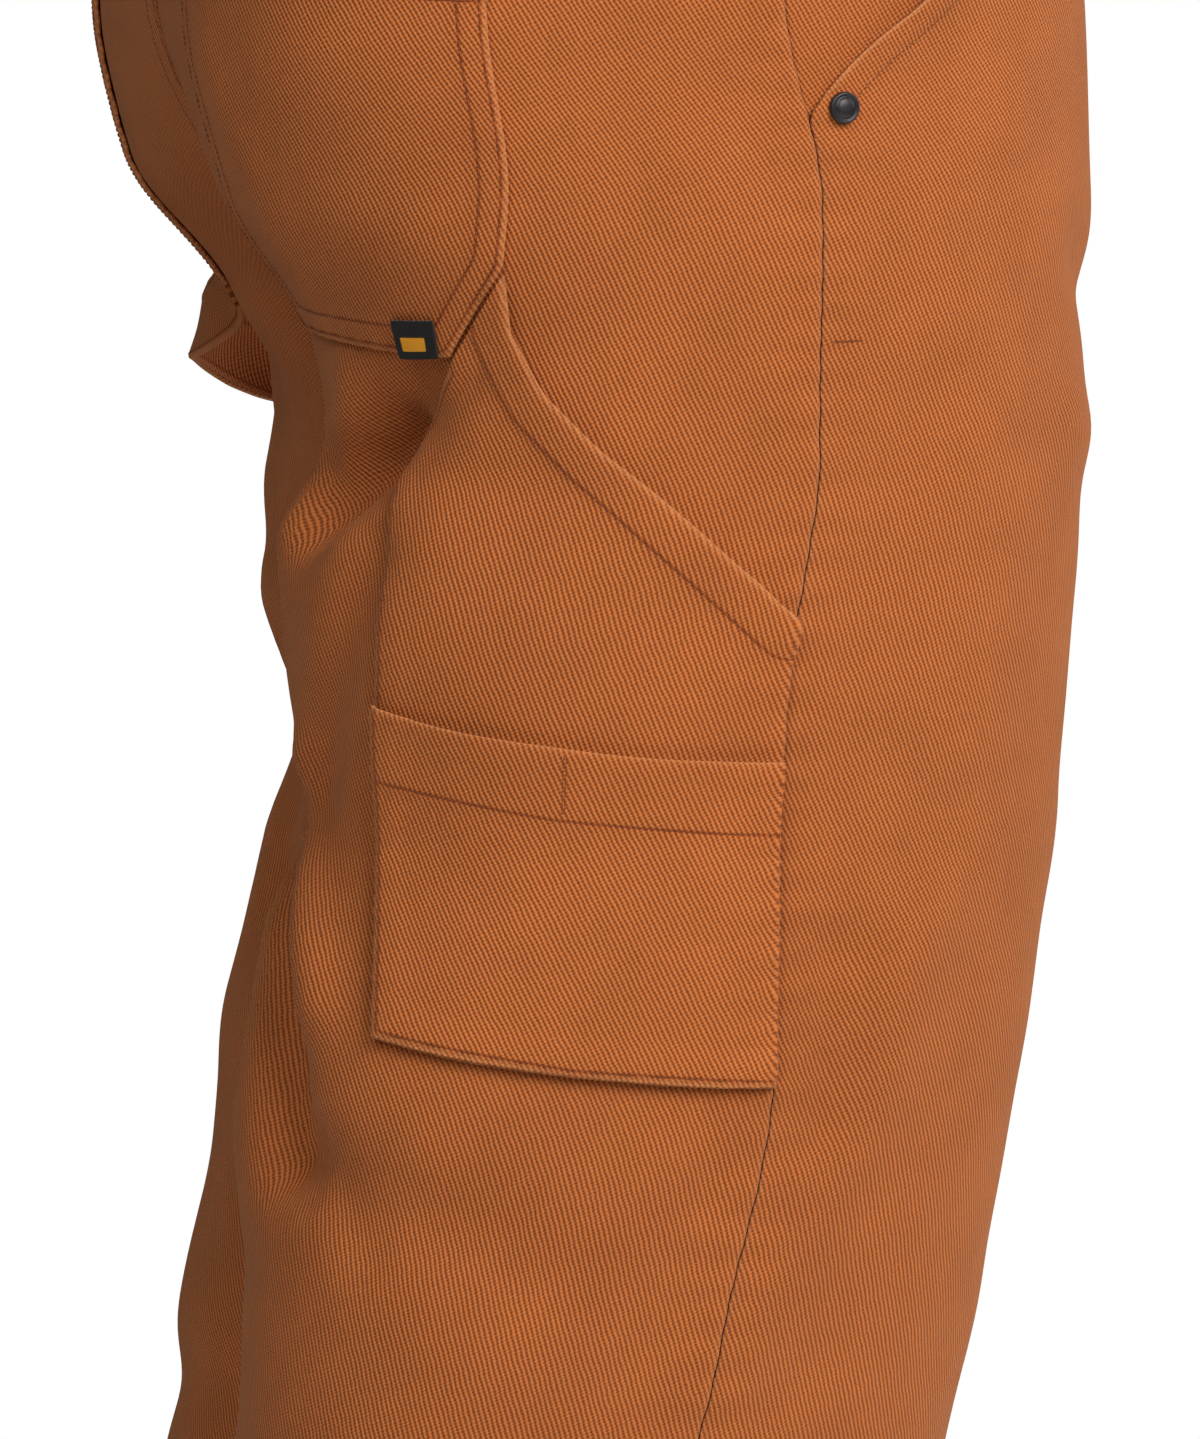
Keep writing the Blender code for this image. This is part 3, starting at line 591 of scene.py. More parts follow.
def inset_line(line, inside, gap, trim=0.0):
    """A bent line moved by gap towards the point inside, and shortened by trim at its ends."""
    moved = []
    for a, b in zip(line, line[1:]):
        a, b = Vector(a), Vector(b)
        across = Vector((b.y - a.y, a.x - b.x)).normalized()
        if across.dot(Vector(inside) - a) < 0:
            across.negate()
        moved.append((a + across * gap, b + across * gap))
    points = [moved[0][0] + (moved[0][1] - moved[0][0]).normalized() * trim]
    for (a, b), (c, d) in zip(moved, moved[1:]):
        first, second = b - a, d - c
        share = (c - a).cross(second) / first.cross(second)
        points.append(a + first * share)
    points.append(moved[-1][1] + (moved[-1][0] - moved[-1][1]).normalized() * trim)
    return [(p.x, p.y) for p in points]


class Patch:
    """A pocket that lies on a panel, and its height over the panel."""

    def __init__(self, cloth, cut, lift, rows, columns):
        self.cloth, self.cut, self.lift = cloth, cut, lift
        self.inside = tuple(np.mean(cut.sewn, axis=0))
        knots = cut.knots
        span = math.hypot(knots[-1].s_a - knots[0].s_a, knots[-1].z_a - knots[0].z_a)
        t = spread(0, span, rows, PATCH_EDGE_STEPS) / span
        ends = {n: np.interp(t, [k.t for k in knots], [getattr(k, n) for k in knots]) for n in Knot._fields}
        self.s = np.zeros((len(t), columns + 2 * len(PATCH_EDGE_STEPS)))
        self.z = np.zeros_like(self.s)
        for i in range(len(t)):
            width = math.hypot(ends["s_b"][i] - ends["s_a"][i], ends["z_b"][i] - ends["z_a"][i])
            u = spread(0, width, columns, PATCH_EDGE_STEPS) / width
            self.s[i] = ends["s_a"][i] + (ends["s_b"][i] - ends["s_a"][i]) * u
            bow = cut.bow * 4 * u * (1 - u) * min(1, width / 0.12)
            self.z[i] = ends["z_a"][i] + (ends["z_b"][i] - ends["z_a"][i]) * u - bow
        self.rim = line_gap(cut.sewn, self.s, self.z)
        self.mouth = line_gap(cut.mouth, self.s, self.z)

    def height(self, rim, mouth):
        """Height of the pocket's face at its distances from the sewn edges and from the mouth."""
        hem = 0.0005 * smooth(mouth, self.cut.hem + 0.0020, self.cut.hem - 0.0010)
        turned = 0.0004 * smooth(rim, 0.0115, 0.0080)
        roll = 0.0008 * bell(rim, 0.0011) + 0.0004 * bell(mouth, 0.0009)
        stand = self.cut.gape * bell(mouth, 0.012) * smooth(rim, 0.0, 0.03)
        return self.lift + hem + turned - roll + stand

    def points(self):
        """The pocket's grid of points."""
        height = self.height(self.rim, self.mouth)
        height += 0.00022 * pucker(self.s + self.z, 0.0105) * bell(self.rim, 0.010)
        return self.cloth.lay(self.s, self.z, height)

    def face(self, s, z):
        """Height over the panel at one place, for sewing."""
        rim = line_gap(self.cut.sewn, s, z)
        mouth = line_gap(self.cut.mouth, s, z)
        return float(self.height(rim, mouth))

    def uv(self, slide):
        """Places on the flat cloth; slide sets the twill off from the panel's."""
        return np.stack([-self.cloth.side * self.s + slide, self.z + slide / 2], axis=-1)


@cache
def pocket_patch(name):
    """The patch of a pocket by its node's name, worked out once."""
    pocket = POCKETS[name]
    cloth = panel_cloth(pocket.side, "back")
    return Patch(cloth, pocket.cut, pocket.layer * POCKET_LIFT, pocket.rows, pocket.columns)


# A wave texture's bands lie this far apart at a scale of 1
WAVE_REPEAT = 2 * math.pi / 20
# The output that each kind of node passes on
OUTPUTS = {
    "Attribute": "Fac", "Background": "Background", "Bump": "Normal", "LightPath": "Is Camera Ray",
    "MapRange": "Result", "Mapping": "Vector", "Math": "Value", "Mix": 2, "TexCoord": "Object",
    "TexNoise": "Fac", "TexWave": "Fac", "UVMap": "UV", "VectorMath": "Vector",
}


def set_inputs(tree, node, inputs):
    """Sets a node's inputs by socket: an output is linked, anything else is the socket's own value."""
    for key, value in inputs.items():
        if isinstance(value, bpy.types.NodeSocket):
            tree.links.new(value, node.inputs[key])
        else:
            node.inputs[key].default_value = value


def add_node(tree, kind, inputs=None, **settings):
    """Adds a node with its inputs and settings, and returns the output that it passes on."""
    node = tree.nodes.new("ShaderNode" + kind)
    for name, value in settings.items():
        setattr(node, name, value)
    set_inputs(tree, node, inputs or {})
    return node.outputs[OUTPUTS[kind]] if kind in OUTPUTS else None


def new_material(name, values):
    """A material with a shader whose constants are set on its own sockets."""
    material = bpy.data.materials.new(name)
    material.use_nodes = True
    tree = material.node_tree
    shader = tree.nodes["Principled BSDF"]
    set_inputs(tree, shader, values)
    return material, tree, shader


@cache
def twill_material(name, rows=(), shade=1.0):
    """Cotton twill, piece-dyed and washed: matt, steep wales, softly worn where it is turned, with a painted
    highlight there.

    rows are lines of stitching: an attribute that holds a distance, and the distance at which the row
    runs; the cloth is drawn in there, and a painted shade darkens its groove.
    """
    colours = bpy.context.scene.pants_colours
    sizes = bpy.context.scene.pants_sizes
    # Cotton reflects like a rough dielectric, and its loose fibres give a pale bloom at a glancing angle
    material, tree, shader = new_material(
        name,
        {
            "Roughness": 0.86, "IOR": 1.46, "Specular IOR Level": 0.22, "Sheen Weight": 0.24,
            "Sheen Roughness": 0.45, "Sheen Tint": linear("#e6b58e"),
        },
    )
    uv = add_node(tree, "UVMap", uv_map="cloth")
    turned = add_node(
        tree, "Mapping", {"Vector": uv, "Rotation": (0, 0, sizes.wale_angle)}, vector_type="POINT"
    )
    wave_scale = WAVE_REPEAT / sizes.wale_spacing
    wales = add_node(
        tree, "TexWave",
        {
            "Vector": turned, "Scale": wave_scale, "Distortion": 2.2, "Detail": 2.0, "Detail Scale": 0.55,
            "Detail Roughness": 0.6,
        }, wave_type="BANDS", bands_direction="X", wave_profile="SIN",
    )
    # Floats of yarn across the wales: 0.6 mm apart on the cloth, drawn at 1.1 mm so that they show
    floats = add_node(
        tree, "TexWave",
        {
            "Vector": turned, "Scale": WAVE_REPEAT / 0.0011, "Distortion": 3.5, "Detail": 2.0,
            "Detail Scale": 1.0,
        }, wave_type="BANDS", bands_direction="Y", wave_profile="SIN",
    )
    fuzz = add_node(
        tree, "TexNoise", {"Vector": uv, "Scale": 1500.0, "Detail": 3.0, "Roughness": 0.7},
        noise_dimensions="2D",
    )
    mottle = add_node(
        tree, "TexNoise", {"Vector": uv, "Scale": 26.0, "Detail": 5.0, "Roughness": 0.62},
        noise_dimensions="2D",
    )
    lift = add_node(tree, "Math", {0: floats, 1: 0.42, 2: wales}, operation="MULTIPLY_ADD")
    lift = add_node(tree, "Math", {0: fuzz, 1: 1.0, 2: lift}, operation="MULTIPLY_ADD")
    # The cloth's brown with painted shade in the grooves and a painted highlight on the ribs, following the
    # relief that the bump also shades; the fuzz adds random yarn tone
    tone = add_node(
        tree, "MapRange", {"Value": lift, "From Min": 0.48, "From Max": 1.80}, interpolation_type="SMOOTHSTEP"
    )
    lit_ribs_shaded_grooves = add_node(
        tree, "Mix", {0: tone, 6: (*colours.twill_groove_with_shade, 1.0), 7: (*colours.twill_wale_with_highlight, 1.0)},
        data_type="RGBA",
    )
    patches = add_node(
        tree, "MapRange",
        {"Value": mottle, "From Min": 0.3, "From Max": 0.7, "To Min": 0.93 * shade, "To Max": 1.06 * shade},
    )
    colour = add_node(tree, "VectorMath", {0: lit_ribs_shaded_grooves, "Scale": patches}, operation="SCALE")
    relief = lift
    for attribute, place in rows:
        gap = add_node(tree, "Attribute", attribute_name=attribute)
        off = add_node(tree, "Math", {0: gap, 1: place}, operation="SUBTRACT")
        off = add_node(tree, "Math", {0: off}, operation="ABSOLUTE")
        drawn_and_shaded = add_node(
            tree, "MapRange",
            {"Value": off, "From Min": 0.0009, "From Max": 0.0, "To Min": 0.0, "To Max": 1.0},
            interpolation_type="SMOOTHERSTEP",
        )
        relief = add_node(tree, "Math", {0: drawn_and_shaded, 1: -0.7, 2: relief}, operation="MULTIPLY_ADD")
        # Painted shade in the stitch groove
        colour = add_node(
            tree, "Mix", {0: drawn_and_shaded, 6: colour, 7: linear("#dac6b8")}, data_type="RGBA", blend_type="MULTIPLY"
        )
    # Turned edges are paler: partly rubbed wear, partly a painted highlight on their rolled rims
    rim = add_node(tree, "Attribute", attribute_name="rub_and_highlight")
    rubbed_and_lit = add_node(tree, "Math", {0: rim, 1: fuzz}, operation="MULTIPLY")
    colour = add_node(tree, "Mix", {0: rubbed_and_lit, 6: colour, 7: (*colours.twill_rubbed_highlight, 1.0)}, data_type="RGBA")
    bump = add_node(tree, "Bump", {"Height": relief, "Strength": 0.9, "Distance": 0.00024})
    set_inputs(tree, shader, {"Base Color": colour, "Normal": bump})
    return material


@cache
def thread_material():
    """Polyester-cotton sewing thread of the cloth's brown, set darker as painted shade of the sunk stitches:
    a slight gloss on its twist.
    """
    colours = bpy.context.scene.pants_colours
    material, tree, shader = new_material(
        "thread_spun_polyester", {"Roughness": 0.6, "IOR": 1.5, "Specular IOR Level": 0.35}
    )
    place = add_node(tree, "TexCoord")
    noise = add_node(tree, "TexNoise", {"Vector": place, "Scale": 900.0, "Detail": 2.0})
    colour = add_node(
        tree, "Mix", {0: noise, 6: (*colours.thread, 1.0), 7: linear("#8a4a22")}, data_type="RGBA"
    )
    set_inputs(tree, shader, {"Base Color": colour})
    return material


@cache
def metal_material():
    """Steel under black enamel, tumbled: dark and half glossy, with fine pits that soften the gloss."""
    colours = bpy.context.scene.pants_colours
    material, tree, shader = new_material(
        "black_enamelled_steel", {"Metallic": 0.55, "Coat Weight": 0.25, "Coat Roughness": 0.35}
    )
    place = add_node(tree, "TexCoord")
    grain = add_node(tree, "TexNoise", {"Vector": place, "Scale": 1400.0, "Detail": 4.0})
    rough = add_node(tree, "MapRange", {"Value": grain, "To Min": 0.34, "To Max": 0.56})
    colour = add_node(
        tree, "Mix", {0: grain, 6: (*colours.metal, 1.0), 7: linear("#3d3a40")}, data_type="RGBA"
    )
    bump = add_node(tree, "Bump", {"Height": grain, "Strength": 0.35, "Distance": 0.00012})
    set_inputs(tree, shader, {"Base Color": colour, "Roughness": rough, "Normal": bump})
    return material


@cache
def tape_material():
    """Black polyester tape, woven in a fine rib, with a plain amber bar woven in."""
    colours = bpy.context.scene.pants_colours
    material, tree, shader = new_material(
        "black_woven_tape", {"Roughness": 0.7, "IOR": 1.5, "Specular IOR Level": 0.3, "Sheen Weight": 0.1}
    )
    uv = add_node(tree, "UVMap", uv_map="cloth")
    # Ribs 0.45 mm apart over a tab 17 mm wide
    ribs = add_node(
        tree, "TexWave",
        {"Vector": uv, "Scale": WAVE_REPEAT / (0.00045 / 0.012), "Distortion": 1.0, "Detail Scale": 2.0},
        wave_type="BANDS", bands_direction="Y",
    )
    bar = add_node(tree, "Attribute", attribute_name="bar")
    inside = add_node(
        tree, "MapRange", {"Value": bar, "From Min": 0.42, "From Max": 0.58}, interpolation_type="SMOOTHSTEP"
    )
    black = add_node(tree, "Mix", {0: ribs, 6: linear("#070607"), 7: linear("#1b191b")}, data_type="RGBA")
    colour = add_node(tree, "Mix", {0: inside, 6: black, 7: (*colours.tab_bar, 1.0)}, data_type="RGBA")
    bump = add_node(tree, "Bump", {"Height": ribs, "Strength": 0.7, "Distance": 0.00012})
    set_inputs(tree, shader, {"Base Color": colour, "Normal": bump})
    return material


def show(name, mesh, material, node=None):
    """Adds a finished mesh to the scene as a piece that rides on the garment."""
    piece = bpy.data.objects.new(name, mesh)
    mesh.materials.append(material)
    mesh.shade_smooth()
    bpy.context.scene.collection.objects.link(piece)
    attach(piece, "root")
    if node:
        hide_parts(node)
    return piece


def cloth_piece(node, points, uv, out, wall, material, extras):
    """A cloth piece through a grid of points, with a wall inwards from its outer face.

    extras are the values that the material reads, by the name of their attribute.
    """
    rows, columns = points.shape[:2]
    bm = bmesh.new()
    bmesh.ops.create_grid(bm, x_segments=columns - 1, y_segments=rows - 1, size=1)
    layer = bm.loops.layers.uv.new("cloth")
    flat_uv = uv.reshape(-1, 2)
    for vert, point in zip(bm.verts, points.reshape(-1, 3)):
        vert.co = point
        for loop in vert.link_loops:
            loop[layer].uv = flat_uv[vert.index]
    bm.normal_update()
    middle = sum((face.normal * face.calc_area() for face in bm.faces), Vector())
    if out is not None and middle.dot(Vector(out)) < 0:
        bmesh.ops.reverse_faces(bm, faces=bm.faces)
    mesh = bpy.data.meshes.new(node)
    bm.to_mesh(mesh)
    bm.free()
    for name, values in extras.items():
        values = np.broadcast_to(values, (rows, columns))
        mesh.attributes.new(name, "FLOAT", "POINT").data.foreach_set("value", values.ravel())
    piece = show(f"cloth_{node}", mesh, material, node)
    solid = piece.modifiers.new("Wall", "SOLIDIFY")
    solid.thickness = wall
    solid.offset = -1
    return piece


def build_panels():
    """The front and back panels of both legs."""
    rows = (*(("far", gap) for gap in SEAM_STITCHES), ("hem", HEM_STITCH))
    material = twill_material("cotton_twill_panels", rows)
    for name in SIDES:
        for half in ("front", "back"):
            cloth = panel_cloth(name, half)
            hem = cloth.rows[:, None] - HEM_HEIGHT
            # Paler turned edges at the side seam, the hem and the opening: wear and a painted highlight
            rub_and_highlight = 0.5 * bell(cloth.from_side, 0.0012) + 0.9 * bell(hem, 0.0015)
            if half == "front":
                edge = bell(cloth.from_mouth, 0.0012)
                rub_and_highlight = rub_and_highlight + edge * smooth(cloth.rows[:, None], -0.163, -0.150)
            extras = {"far": cloth.to_far, "hem": hem, "rub_and_highlight": rub_and_highlight}
            node = f"{half}_panel_{name}"
            piece = cloth_piece(node, cloth.points, cloth.uv(), cloth.out(), CLOTH, material, extras)


def build_facings():
    """The cloth that shows behind each front pocket's opening."""
    rows = np.linspace(WAIST_BOTTOM, FRONT_OPENING[0].z - FACING_REACH, FACING_ROWS)
    # Set 3% darker, as painted shade behind the pocket opening
    material = twill_material("cotton_twill_facings", shade=0.97)
    for name, side in SIDES.items():
        end = opening_ahead(rows) + FACING_BEHIND
        cloth = Cloth(side, "front", rows, FACING_COLUMNS, end=end, lift=-CLOTH - LAY_GAP)
        node = f"front_pocket_facing_{name}"
        piece = cloth_piece(node, cloth.points, cloth.uv(), cloth.out(), CLOTH, material, {"rub_and_highlight": 0.0})


def waistband_grid(lift):
    """The waistband's ring of points, from the right front round to the lap at the centre front."""
    rows = spread(0, WAIST_TOP - WAIST_BOTTOM + WAISTBAND_TUCK, 10, PATCH_EDGE_STEPS[:5])
    heights = WAIST_TOP - rows
    from_edge = np.minimum(rows, rows[-1] - rows)[:, None]
    roll = 0.0009 * bell(from_edge, 0.0011)
    runs = {}
    for side in (RIGHT, LEFT):
        for half in ("front", "back"):
            cloth = Cloth(side, half, heights, WAISTBAND_COLUMNS)
            runs[side, half] = cloth.points + cloth.normal * (lift - roll)[..., None]
    lap = Cloth(RIGHT, "front", heights, LAP_COLUMNS)
    over = lift + WAISTBAND_CLOTH + LAY_GAP
    over_points = lap.points + lap.normal * (over - roll)[..., None]
    near = np.flatnonzero(np.abs(lap.points[0, :-1, 0]) < WAISTBAND_LAP)
    parts = [
        runs[RIGHT, "front"][:, ::-1],
        runs[RIGHT, "back"][:, 1:-1],
        runs[LEFT, "back"][:, :0:-1],
        runs[LEFT, "front"][:, :-LAP_MARGIN],
        over_points[:, near][:, ::-LAP_STEP],
    ]
    return np.concatenate(parts, axis=1), heights, from_edge


def build_waistband():
    """The waistband, lapped at the centre front."""
    grid, heights, from_edge = waistband_grid(WAISTBAND_LIFT)
    uv = np.stack(np.broadcast_arrays(arc_length(grid[0]), heights[:, None]), axis=-1)
    material = twill_material("cotton_twill_waistband", (("far", EDGE_STITCH),))
    # Paler rolled edges: wear and a painted highlight
    extras = {"far": from_edge, "rub_and_highlight": 0.8 * bell(from_edge, 0.0013)}
    piece = cloth_piece("waistband", grid, uv, None, WAISTBAND_CLOTH, material, extras)


def belt_loop_grid(loop, side):
    """One belt loop's points, with the cloth it stands on."""
    heights = BELT_LOOP_TOP - spread(0, BELT_LOOP_TOP - BELT_LOOP_BOTTOM, 16, PATCH_EDGE_STEPS[:3])
    start, end = loop.s - BELT_LOOP_WIDTH / 2, loop.s + BELT_LOOP_WIDTH / 2
    cloth = Cloth(side, loop.half, heights, BELT_LOOP_COLUMNS, start=start, end=end)
    across = np.linspace(-1, 1, BELT_LOOP_COLUMNS)[None, :]
    t = np.linspace(0, 1, len(heights))[:, None]
    rise = BELT_LOOP_LIFT + BELT_LOOP_REACH * np.sin(np.pi * t) ** 0.7 - 0.0005 * np.abs(across) ** 8
    return cloth, cloth.points + cloth.normal * rise[..., None]


def build_belt_loops():
    """Short straps that stand off the waistband."""
    material = twill_material("cotton_twill_belt_loops")
    for loop in BELT_LOOPS:
        for name, side in SIDES.items():
            cloth, points = belt_loop_grid(loop, side)
            # Paler folded sides: wear and a painted highlight
            extras = {"rub_and_highlight": 0.6 * np.abs(np.linspace(-1, 1, BELT_LOOP_COLUMNS)) ** 10}
            node = f"belt_loop_{loop.name}_{name}"
            piece = cloth_piece(node, points, cloth.uv(), cloth.out(), BELT_LOOP_CLOTH, material, extras)


def build_fly_shield():
    """The strip behind the closed fly."""
    rows = np.linspace(WAIST_BOTTOM, FLY_BOTTOM, 40)[:, None]
    x = np.linspace(-FLY_RIGHT, FLY_LEFT, 16)[None, :]
    share = (along(SECTIONS, "cx", rows) - np.abs(x)) / along(SECTIONS, "inner", rows)
    angle = np.degrees(np.arccos(share ** (SQUARENESS / 2)))
    points = form(RIGHT, angle, rows)
    points[..., 0] = x
    points[..., 1] += FLY_BEHIND
    uv = np.stack(np.broadcast_arrays(x, rows), axis=-1)
    # Set 3% darker, as painted shade behind the fly
    material = twill_material("cotton_twill_facings", shade=0.97)
    piece = cloth_piece("fly_shield", points, uv, (0, -1, 0), CLOTH, material, {"rub_and_highlight": 0.0})


def build_pockets():
    """The patch pockets on the back panels and the right leg's side."""
    for node, pocket in POCKETS.items():
        patch = pocket_patch(node)
        kind = node.removesuffix("_right").removesuffix("_left")
        gaps = BACK_POCKET_STITCHES if pocket.cut is BACK_POCKET else (EDGE_STITCH,)
        rows = (*(("rim", gap) for gap in gaps), ("mouth", pocket.cut.hem))
        material = twill_material(f"cotton_twill_{kind}", rows, pocket.shade)
        # Paler sewn edges and mouth: wear and a painted highlight
        rub_and_highlight = 0.8 * bell(np.minimum(patch.rim, patch.mouth), 0.0011)
        extras = {"rim": patch.rim, "mouth": patch.mouth, "rub_and_highlight": rub_and_highlight}
        out = patch.cloth.normal[80, 40]
        piece = cloth_piece(node, patch.points(), patch.uv(pocket.slide), out, POCKET_CLOTH, material, extras)


def build_tab():
    """The plain black tab on the right back pocket, with its amber bar."""
    patch = pocket_patch("back_pocket_right")
    u, v = np.meshgrid(np.linspace(0, 1, TAB_COLUMNS), np.linspace(0, 1, TAB_ROWS))
    top = np.linspace(TAB_CORNERS[0], TAB_CORNERS[3], TAB_COLUMNS)
    low = np.linspace(TAB_CORNERS[1], TAB_CORNERS[2], TAB_COLUMNS)
    places = top * (1 - v[..., None]) + low * v[..., None]
    lift = patch.lift + 0.0010 + TAB_CLOTH + 0.0006 * (np.arange(TAB_ROWS) / TAB_ROWS)[:, None] ** 2
    points = patch.cloth.lay(places[..., 0], places[..., 1], lift)
    left, right, upper, lower = TAB_BAR
    bar = np.minimum.reduce([u - left, right - u, v - upper, lower - v])
    extras = {"bar": np.clip(0.5 + bar * 20, 0, 1)}
    uv = np.stack([u, v], axis=-1)
    out = patch.cloth.way_out(0.128, -0.23)
    piece = cloth_piece("pocket_tab", points, uv, out, TAB_CLOTH, tape_material(), extras)


def hammer_loop_point(t, off, lift=0.0):
    """A point of the hammer loop: t along it, off metres from its middle line."""
    cloth = panel_cloth("left", "back")
    way = Vector((LOOP_END[0] - LOOP_START[0], LOOP_END[1] - LOOP_START[1])).normalized()
    rise = LOOP_REACH * np.sin(np.pi * t) ** 2 + LAY_GAP + LOOP_CLOTH
    rise += LOOP_OVER_POCKET * smooth(t, *LOOP_ON_POCKET)
    s = LOOP_START[0] + (LOOP_END[0] - LOOP_START[0]) * t - way.y * off
    z = LOOP_START[1] + (LOOP_END[1] - LOOP_START[1]) * t + way.x * off
    return cloth.at(s, z, rise + lift)


def build_hammer_loop():
    """The strap on the left leg that stands off between its two sewn ends."""
    share = np.linspace(0, 1, LOOP_ROWS)
    across = spread(0, LOOP_WIDTH, 8, PATCH_EDGE_STEPS[:4]) - LOOP_WIDTH / 2
    points = np.zeros((len(across), len(share), 3))
    edge = LOOP_WIDTH / 2 - np.abs(across)
    for i, t in enumerate(share):
        for j, off in enumerate(across):
            points[j, i] = hammer_loop_point(t, off, -0.0008 * bell(edge[j], 0.0012))
    uv = np.stack(np.meshgrid(share * LOOP_LENGTH, across), axis=-1)
    material = twill_material("cotton_twill_hammer_loop", (("far", EDGE_STITCH),))
    far = edge[:, None]
    # Paler edges: wear and a painted highlight
    extras = {"far": far, "rub_and_highlight": 0.8 * bell(far, 0.0012)}
    out = panel_cloth("left", "back").way_out(0.08, -0.28)
    piece = cloth_piece("hammer_loop", points, uv, out, LOOP_CLOTH, material, extras)


def turned_piece(node, profile, place, out):
    """A turned metal piece: its profile of radius and height spun about out."""
    bm = bmesh.new()
    verts = [bm.verts.new((radius, 0, height)) for radius, height in profile]
    edges = [bm.edges.new(pair) for pair in zip(verts, verts[1:])]
    bmesh.ops.spin(
        bm,
        geom=verts + edges, axis=(0, 0, 1), cent=(0, 0, 0), angle=2 * math.pi, steps=TURN_STEPS,
        use_merge=True,
    )
    bmesh.ops.remove_doubles(bm, verts=bm.verts, dist=0.00001)
    bmesh.ops.recalc_face_normals(bm, faces=bm.faces)
    turn = Vector(out).to_track_quat("Z", "Y").to_matrix().to_4x4()
    bmesh.ops.transform(bm, matrix=Matrix.Translation(Vector(place)) @ turn, verts=bm.verts)
    mesh = bpy.data.meshes.new(node)
    bm.to_mesh(mesh)
    bm.free()
    piece = show(f"turned_{node}", mesh, metal_material(), node)
    return piece


def build_hardware():
    """The rivets at the front pockets and the waistband's button."""
    for name in SIDES:
        cloth = panel_cloth(name, "front")
        turned_piece(f"rivet_{name}", RIVET_PROFILE, cloth.at(*RIVET, 0.0002), cloth.way_out(*RIVET))
    front = WAISTBAND_LIFT + WAISTBAND_CLOTH + 2 * LAY_GAP
    spot = form(RIGHT, end_angle("front", 0.0), 0.0)
    place = (-BUTTON_AHEAD, float(spot[1]) - front, 0.0)
    turned_piece("waist_button", BUTTON_PROFILE, place, (0, -1, 0))


def resample(points, pitch):
    """Points at even steps of pitch along a bent line in space."""
    points = np.asarray(points, float)
    arc = arc_length(points)
    places = np.arange(0, arc[-1], pitch)
    return np.stack([np.interp(places, arc, points[:, k]) for k in range(points.shape[1])], axis=-1)


def flat_line(corners, step=0.002):
    """Points of a bent line on the flat cloth, close together."""
    corners = np.asarray(corners, float)
    return list(resample(corners, step)) + [corners[-1]]


def stitch_run(curve, spots, outs, width):
    """Adds a row of stitches: each spans most of the pitch between two spots and sinks at its ends."""
    for i in range(len(spots) - 1):
        a, b, out = spots[i], spots[i + 1], outs[i]
        spline = curve.splines.new("POLY")
        spline.points.add(3)
        for point, share, sink, radius in zip(
            spline.points, (0.10, 0.30, 0.66, 0.86), (-0.9, 0.15, 0.15, -0.9), (0.6, 1.0, 1.0, 0.6)
        ):
            point.co = (*(a + (b - a) * share + out * width * sink), 1)
            point.radius = radius


def new_stitches(name):
    """An empty curve that stitches are added to."""
    curve = bpy.data.curves.new(name, "CURVE")
    curve.dimensions = "3D"
    curve.bevel_depth = bpy.context.scene.pants_sizes.thread_width / 2
    curve.bevel_resolution = 0
    curve.use_fill_caps = False
    return curve


def finish_stitches(name, curve):
    """Turns the curve into one mesh of all its stitches."""
    holder = bpy.data.objects.new(name, curve)
    bpy.context.scene.collection.objects.link(holder)
    mesh = bpy.data.meshes.new_from_object(holder.evaluated_get(bpy.context.evaluated_depsgraph_get()))
    bpy.data.objects.remove(holder)
    mesh.materials.clear()
    show(name, mesh, thread_material())


def sew_between(curve, ground, above, pitch=None):
    """Sews a row through points; the points above them, PROBE away, say which way is out."""
    sizes = bpy.context.scene.pants_sizes
    both = resample(np.concatenate([ground, above], axis=1), pitch or sizes.stitch_pitch)
    stitch_run(curve, both[:, :3], (both[:, 3:] - both[:, :3]) / PROBE, sizes.thread_width / 2)


def sew(curve, cloth, line, lift, pitch=None):
    """Sews a row along a line on the flat cloth; lift is a number or a function of s and z."""
    rise = lift if callable(lift) else (lambda s, z: lift)
    ground = [cloth.at(s, z, rise(s, z)) for s, z in line]
    above = [cloth.at(s, z, rise(s, z) + PROBE) for s, z in line]
    sew_between(curve, ground, above, pitch)


def seam_line(cloth, gap, top, bottom):
    """A line that runs beside a panel's far seam."""
    way = -1 if cloth.half == "front" else 1
    heights = np.linspace(top, bottom, max(3, int((top - bottom) / 0.003)))
    return [(way * (cloth.width(z) - gap), z) for z in heights]


def sew_legs():
    """Rows of stitching along the seams and hems of both legs."""
    for name in SIDES:
        curve = new_stitches(f"stitching_leg_{name}")
        back, front = panel_cloth(name, "back"), panel_cloth(name, "front")
        for gap in SEAM_STITCHES:
            sew(curve, back, seam_line(back, gap, WAIST_BOTTOM - 0.003, HEM_HEIGHT + 0.022), 0.0)
        heights = np.linspace(WAIST_BOTTOM - 0.002, HEM_HEIGHT + 0.002, 340)
        sew(curve, back, [(SIDE_STITCH, z) for z in heights], -0.0005)
        for cloth in (back, front):
            way = -1 if cloth.half == "front" else 1
            z = HEM_HEIGHT + HEM_STITCH
            ends = np.linspace(0.001, cloth.width(z) - 0.001, 120)
            sew(curve, cloth, [(way * s, z) for s in ends], 0.0)
        sew_front_opening(curve, front)
        finish_stitches(f"stitching_leg_{name}", curve)


def sew_front_opening(curve, front):
    """The row beside the front pocket's opening, and the bar tack by its rivet."""
    heights = np.linspace(-0.158, WAIST_BOTTOM - 0.002, 70)
    ahead = opening_ahead(heights)
    line = np.stack([ahead, heights], axis=-1)
    way = unit(np.gradient(line, axis=0))
    moved = line + np.stack([way[:, 1], -way[:, 0]], axis=-1) * OPENING_STITCH
    sew(curve, front, [(-s, z) for s, z in moved], 0.0)
    s, z = TACK_START
    tack = [(s - TACK_STEP * i, z + TACK_RISE * (i % 2)) for i in range(TACK_COUNT)]
    sew(curve, front, tack, 0.0, pitch=TACK_PITCH)


